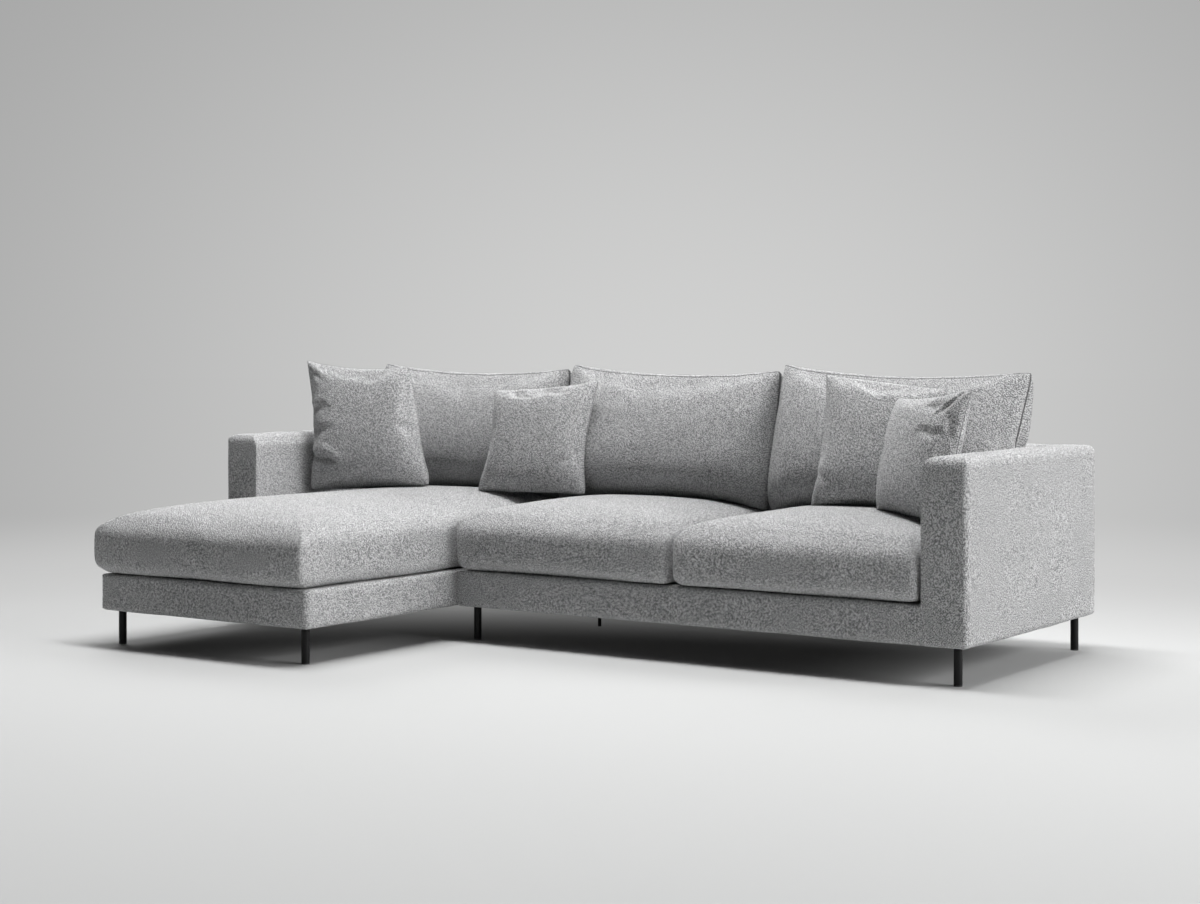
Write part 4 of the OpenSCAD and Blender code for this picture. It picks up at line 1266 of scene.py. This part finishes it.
@dataclass
class CushionSuite:
    """All the loose cushions, filled together and then set in place."""

    wardrobe: Wardrobe

    SEATS = (
        SeatCushion(
            "chaise_seat_cushion", "chaise_seat", "chaise_cushion",
            (-1.2715, -0.8445), (-0.3885, 0.6735), 21, free_left=0.028,
        ),
        SeatCushion(
            "left_seat_pad", "left_seat", "left_seat_cushion",
            (-0.3855, -0.1245), (0.4415, 0.6735), 22,
        ),
        SeatCushion(
            "right_seat_pad", "right_seat", "right_seat_cushion",
            (0.4445, -0.1245), (1.2715, 0.6735), 23,
        ),
    )
    SEAT_AIR = (2.5, 0.02)
    BACK = dict(
        slot="cushion_cloth", cloth="back_cloth", size=(0.8457, 0.450), lean=12.0, front=0.112,
        rear=0.112, draw=0.003, lift=0.0, low=0.38, flat=0.1055, flare_from=0.2327, cells=(84, 46),
        pressure=4.0, growth=0.03, cap=(0.014, 0.003), fill=0.8, fullness=(7.0, 2.3), power=0.46,
        crowding=0.75, rear_over=(0.034, 0.009), inset=0.027,
    )
    LARGE = dict(slot="scatter_cloth", cloth="scatter_cloth", size=(0.45, 0.45))
    SMALL = LARGE | dict(size=(0.395, 0.395))

    @classmethod
    def back(cls, side: str, x: float, seed: int, *corners: Pair, **other: Pair) -> Pillow:
        """A back cushion of its side, with its middle at x."""
        names = (f"{side}_back_pad", f"{side}_back_rest", f"{side}_back_cushion")
        return Pillow(*names, (x, 0.52594, 0.43129), seed, corners=corners, **cls.BACK, **other)

    def pillows(self) -> list[Pillow]:
        """The back and scatter cushions, leaning where their CAD solids lean."""
        return [
            self.back(
                "left", -0.84867, 31, (0.0, 0.0), (0.0, -0.022), (-0.016, 0.010), (0.0, 0.024),
                flare=(0.034, 0.0), side_room=(0.07, 0.0), soil=(0.65, 0.30),
            ),
            self.back(
                "middle", 0.0, 32, (0.0, -0.022), (0.0, -0.024), (-0.007, 0.008), (-0.015, 0.026),
                side_room=(0.0, 0.0), soil=(0.5, 0.15),
            ),
            self.back(
                "right", 0.84867, 33, (0.0, -0.024), (0.0, 0.0), (0.0, 0.008), (-0.008, 0.030),
                flare=(0.0, 0.034), side_room=(0.0, 0.07), soil=(0.45, 0.13),
            ),
            Pillow(
                "large_scatter_a", "scatter_a", "large_scatter_left",
                (-1.04395, 0.22294, 0.44312), 41, **self.LARGE,
                lean=4.0, turn=15.0, roll=-3.0, low=0.36, front=0.070, fullness=(3.2, 2.3),
                corners=((-0.006, 0.006), (0.012, 0.008), (-0.056, -0.010), (-0.018, 0.030)),
                creases=(
                    Crease((-0.99, 0.28), (-0.64, 0.33), 0.011, 0.012),
                    Crease((-0.95, -0.08), (-0.54, -0.02), 0.007, 0.015),
                    Crease((-0.98, -0.44), (-0.52, -0.50), 0.020, 0.014),
                    Crease((-0.74, -0.36), (-0.46, -0.52), 0.010, 0.012),
                    Crease((-0.97, 0.84), (-0.70, 0.74), 0.008, 0.014),
                ),
            ),
            Pillow(
                "small_scatter_b", "scatter_b", "small_scatter_middle",
                (-0.412, 0.35094, 0.44609), 42, **self.SMALL,
                lean=13.0, turn=10.0, roll=-1.0, low=0.12,
                corners=((-0.022, 0.006), (0.0, 0.0), (0.020, 0.008), (0.006, -0.024)),
                creases=(
                    Crease((-0.55, 0.90), (-0.10, 0.74), 0.008, 0.013),
                    Crease((0.05, 0.94), (0.55, 0.78), 0.007, 0.013),
                    Crease((0.86, -0.30), (0.62, -0.52), 0.006, 0.014),
                ),
            ),
            Pillow(
                "large_scatter_c", "scatter_c", "large_scatter_right",
                (0.89905, 0.35494, 0.44847), 43, **self.LARGE,
                lean=12.0, turn=2.0, lift=0.014, low=0.40, front=0.072, corner_power=1.6,
                corner_round=0.002, fullness=(2.4, 2.6),
                corners=((0.0, -0.008), (0.0, 0.0), (-0.020, -0.064), (0.006, -0.022)),
                creases=(Crease((-0.92, -0.55), (-0.66, -0.62), 0.006, 0.014),),
            ),
            Pillow(
                "small_scatter_d", "scatter_d", "small_scatter_right",
                (1.08814, 0.18694, 0.45862), 44, **self.SMALL,
                lean=13.0, turn=-29.0, roll=-2.0, low=0.12, corner_power=1.3, corner_round=0.004,
                fullness=(2.2, 2.4),
                corners=((0.040, 0.0), (0.006, -0.036), (0.018, -0.020), (0.045, -0.040)),
                creases=(
                    Crease((0.12, 0.76), (0.72, 0.70), 0.009, 0.016),
                    Crease((0.34, 0.30), (0.84, 0.26), 0.008, 0.014),
                    Crease((0.84, 0.56), (1.0, 0.20), 0.008, 0.011),
                    Crease((0.93, 0.96), (0.60, 0.52), 0.008, 0.006),
                ),
            ),
        ]

    def build(self) -> None:
        """Draw, fill and place every loose cushion, then sew the seams."""
        blower = Blower()
        seats = [(seat, seat.drawn()) for seat in self.SEATS]
        pillows = [(pillow, pillow.drawn()) for pillow in self.pillows()]
        for seat, skin in seats:
            blower.add(skin, seat.name, *self.SEAT_AIR)
        for pillow, skin in pillows:
            blower.add(skin, pillow.name, pillow.pressure, pillow.growth)
        blown = blower.run()
        made = [seat.build(self.wardrobe, skin, blown.get(seat.name)) for seat, skin in seats]
        carriers: list[Piece] = []
        below = self._surfaces(made)
        for pillow, skin in pillows:
            behind = self._surfaces(carriers) if pillow.slot == "scatter_cloth" else None
            puffed = blown.get(pillow.name)
            carriers.append(pillow.build(self.wardrobe, skin, puffed, below, behind))
        stitches = Row(length=0.0034, thick=0.0009, pitch=0.0052)
        thread = self.wardrobe["sewing_thread"]
        for pillow, _ in pillows:
            name = pillow.name + "_stitches"
            stitches.along(name, [pillow.seam_path], thread, pillow.body, pillow.slot)

    @staticmethod
    def _surfaces(pieces: list[Piece]) -> BVHTree:
        """One search tree over the faces of several pieces."""
        points, faces = [], []
        for piece in pieces:
            start = len(points)
            points.extend(v.co[:] for v in piece.data.vertices)
            faces.extend([start + k for k in p.vertices] for p in piece.data.polygons)
        return BVHTree.FromPolygons(points, faces)


@dataclass
class FrameSuite:
    """The CAD nodes that stay: timber, straps, decks, legs, fixings and fillings."""

    wardrobe: Wardrobe

    FINISHES = {
        "timber_x": ("end_rails", "corner_blocks", "chaise_cross_rails", "back_frame"),
        "timber_y": ("side_rails", "sofa_cross_rails", "arm_frame"),
        "webbing": ("straps",),
        "deck_cloth": ("deck",),
        "dust_cloth": ("dust_cover",),
        "seat_foam": ("core",),
        "fibre": ("filling",),
        "zinc": ("bolts", "nuts"),
        "black_coat": ("legs", "support_leg"),
        "brass": ("inserts",),
        "glide_plastic": ("glides",),
    }

    def build(self) -> None:
        """Give every carried-over node its finish."""
        for name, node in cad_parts.items():
            if node.hide_render:
                continue
            finish = next(f for f, ends in self.FINISHES.items() if name.endswith(ends))
            if not node.data.materials:
                node.data.materials.append(None)
            node.data.materials[0] = self.wardrobe[finish]
            LOG.info("%s: %s", name, finish)
        self._staples()

    def _staples(self, inset: float = 0.012, under: float = 0.0002) -> None:
        """Staples that hold the dust covers, in a row inside each base's lower edge."""
        loops = []
        for node in ("chaise_dust_cover", "sofa_dust_cover"):
            low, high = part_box(node)
            x0, x1, y0, y1 = low.x + inset, high.x - inset, low.y + inset, high.y - inset
            square = ((x0, y0), (x1, y0), (x1, y1), (x0, y1))
            loops.append(np.array([(*corner, low.z - under) for corner in square]))
        row = Row(length=0.011, thick=0.0011, pitch=0.045, flat=True)
        row.along("dust_cover_staples", loops, self.wardrobe["zinc"], "frame", "zinc_steel")


# ------ studio


@dataclass(frozen=True)
class Lamp:
    """One soft rectangular lamp, hidden from the camera."""

    name: str
    at: Place
    to: Place
    size: Pair
    watts: float

    def hang(self) -> None:
        """Make the lamp and point it."""
        data = bpy.data.lights.new(self.name, "AREA")
        data.shape = "RECTANGLE"
        data.size, data.size_y = self.size
        data.energy = self.watts
        lamp = linked(self.name, data)
        lamp.location = self.at
        way = Vector(self.to) - Vector(self.at)
        lamp.rotation_euler = way.to_track_quat("-Z", "Y").to_euler()
        lamp.visible_camera = False


@dataclass
class Studio:
    """Floor, lamps, background and camera; the wall glows behind the sofa."""

    floor_colour: Colour = (0.536, 0.54, 0.538)
    wall_colour: Colour = (0.635, 0.636, 0.632)
    wall_edge: Colour = (0.37, 0.371, 0.370)
    glow_way: Place = (-0.525, 0.851, -0.032)
    glow_squash: Place = (1.0, 1.0, 1.3)
    glow_reach: float = 0.50
    # painted light: a share of the wall's glow laid over the whole floor, which lifts the shadows
    # on it
    haze: float = 0.015
    fade_centre: Place = (1.4, -2.6, 0.0)
    fade: Pair = (3.0, 5.6)
    rise: Pair = (4.8, 9.0)
    rise_share: float = 0.45
    rise_colour: Colour = (0.76, 0.761, 0.757)
    camera_at: Place = (3.9002, -5.5715, 0.9544)
    camera_turn: float = 34.266
    focal: float = 63.767
    shift: float = -0.08738
    rings: tuple[float, ...] = (3.0, 8.0, 60.0)
    sides: int = 64

    LAMPS = (
        Lamp("rear_top", (0.0, 7.0, 7.8), (0.0, 0.0, 0.3), (11.0, 6.0), 250.0),
        Lamp("rear_left", (-9.0, 6.0, 7.5), (0.0, 0.0, 0.3), (6.0, 6.0), 720.0),
        Lamp("over", (0.0, 0.5, 6.5), (0.0, 0.5, 0.0), (5.0, 1.2), 70.0),
        Lamp("top", (0.0, 0.0, 6.5), (0.0, 0.0, 0.0), (5.0, 1.0), 410.0),
        Lamp("right", (9.1, 1.6, 3.4), (0.0, 0.2, 0.4), (5.5, 4.0), 700.0),
    )

    def build(self) -> None:
        """Make the stage, the lamps and the camera."""
        self._floor()
        self._world()
        for lamp in self.LAMPS:
            lamp.hang()
        self._camera()

    def _disc(self) -> bpy.types.Mesh:
        """A wide flat disc in rings."""
        n = self.sides
        turns = [2 * math.pi * k / n for k in range(n)]
        points = [(r * math.cos(a), r * math.sin(a), 0.0) for r in self.rings for a in turns]
        pairs = [(1 + k, 1 + (k + 1) % n) for k in range(n)]
        faces = [(0, i, j) for i, j in pairs]
        for a in range(0, n * (len(self.rings) - 1), n):
            faces += [(a + i, a + n + i, a + n + j, a + j) for i, j in pairs]
        mesh = bpy.data.meshes.new("floor")
        mesh.from_pydata([(0.0, 0.0, 0.0), *points], [], faces)
        return mesh

    def _floor(self) -> None:
        """The floor, which fades into the background's colour, with a little glow painted all over
        it that lifts its shadows.
        """
        floor = linked("floor", self._disc())
        sheet = NodeSheet(bpy.data.materials.new("studio_floor"))
        place = sheet.coordinates()
        away = sheet.vector("DISTANCE", place, self.fade_centre, output="Value")
        from_view = sheet.vector("SUBTRACT", place, (*self.camera_at[:2], 0.0))
        glow = self._glow(sheet, sheet.vector("NORMALIZE", from_view))
        near = (1.0 - away.step(*self.rise)) * self.rise_share
        pale = sheet.blend(near, glow, self.rise_colour)
        lit = sheet.add("Emission", {}, {"Color": pale, "Strength": 1.0})
        plain = sheet.add("BsdfDiffuse", {}, {"Color": (*self.floor_colour, 1.0)})
        # painted light: the small glow share reaches right under the sofa and lifts its shadow
        share = (away.step(*self.fade) * (1 - self.haze) + self.haze) * sheet.seen()
        mix = sheet.add("MixShader", {}, {0: share, 1: plain, 2: lit})
        sheet.close(mix, "OutputMaterial")
        floor.data.materials.append(sheet.owner)

    def _glow(self, sheet: NodeSheet, way: Val) -> Val:
        """The wall's colour in a direction, palest behind the sofa."""
        off = sheet.stretched(sheet.vector("SUBTRACT", way, self.glow_way), self.glow_squash)
        far = sheet.vector("LENGTH", off, output="Value")
        return sheet.blend(far.step(0.0, self.glow_reach), self.wall_colour, self.wall_edge)

    def _world(self) -> None:
        """A world that shows as the pale wall but lights nothing."""
        world = bpy.context.scene.world = bpy.data.worlds.new("studio")
        sheet = NodeSheet(world)
        wall = self._glow(sheet, sheet.coordinates("Generated"))
        dark, shown = (
            sheet.add("Background", {}, {"Color": c}) for c in ((0.0, 0.0, 0.0, 1.0), wall)
        )
        mix = sheet.add("MixShader", {}, {0: sheet.seen(), 1: dark, 2: shown})
        sheet.close(mix, "OutputWorld")

    def _camera(self) -> None:
        """The photograph's point of view."""
        data = bpy.data.cameras.new("view")
        data.sensor_width = 36.0
        data.lens = self.focal
        data.shift_y = self.shift
        data.clip_end = 200.0
        camera = bpy.context.scene.camera = linked("view", data)
        camera.location = self.camera_at
        camera.rotation_euler = (math.radians(90), 0.0, math.radians(self.camera_turn))


def main() -> None:
    """Build the studio and the sofa."""
    logging.basicConfig(level=logging.INFO, format="%(message)s")
    bpy.context.scene.view_settings.view_transform = "Standard"
    Studio().build()
    wardrobe = Wardrobe()
    PanelSuite(wardrobe).build()
    CushionSuite(wardrobe).build()
    FrameSuite(wardrobe).build()


if __name__ == "__main__":
    main()
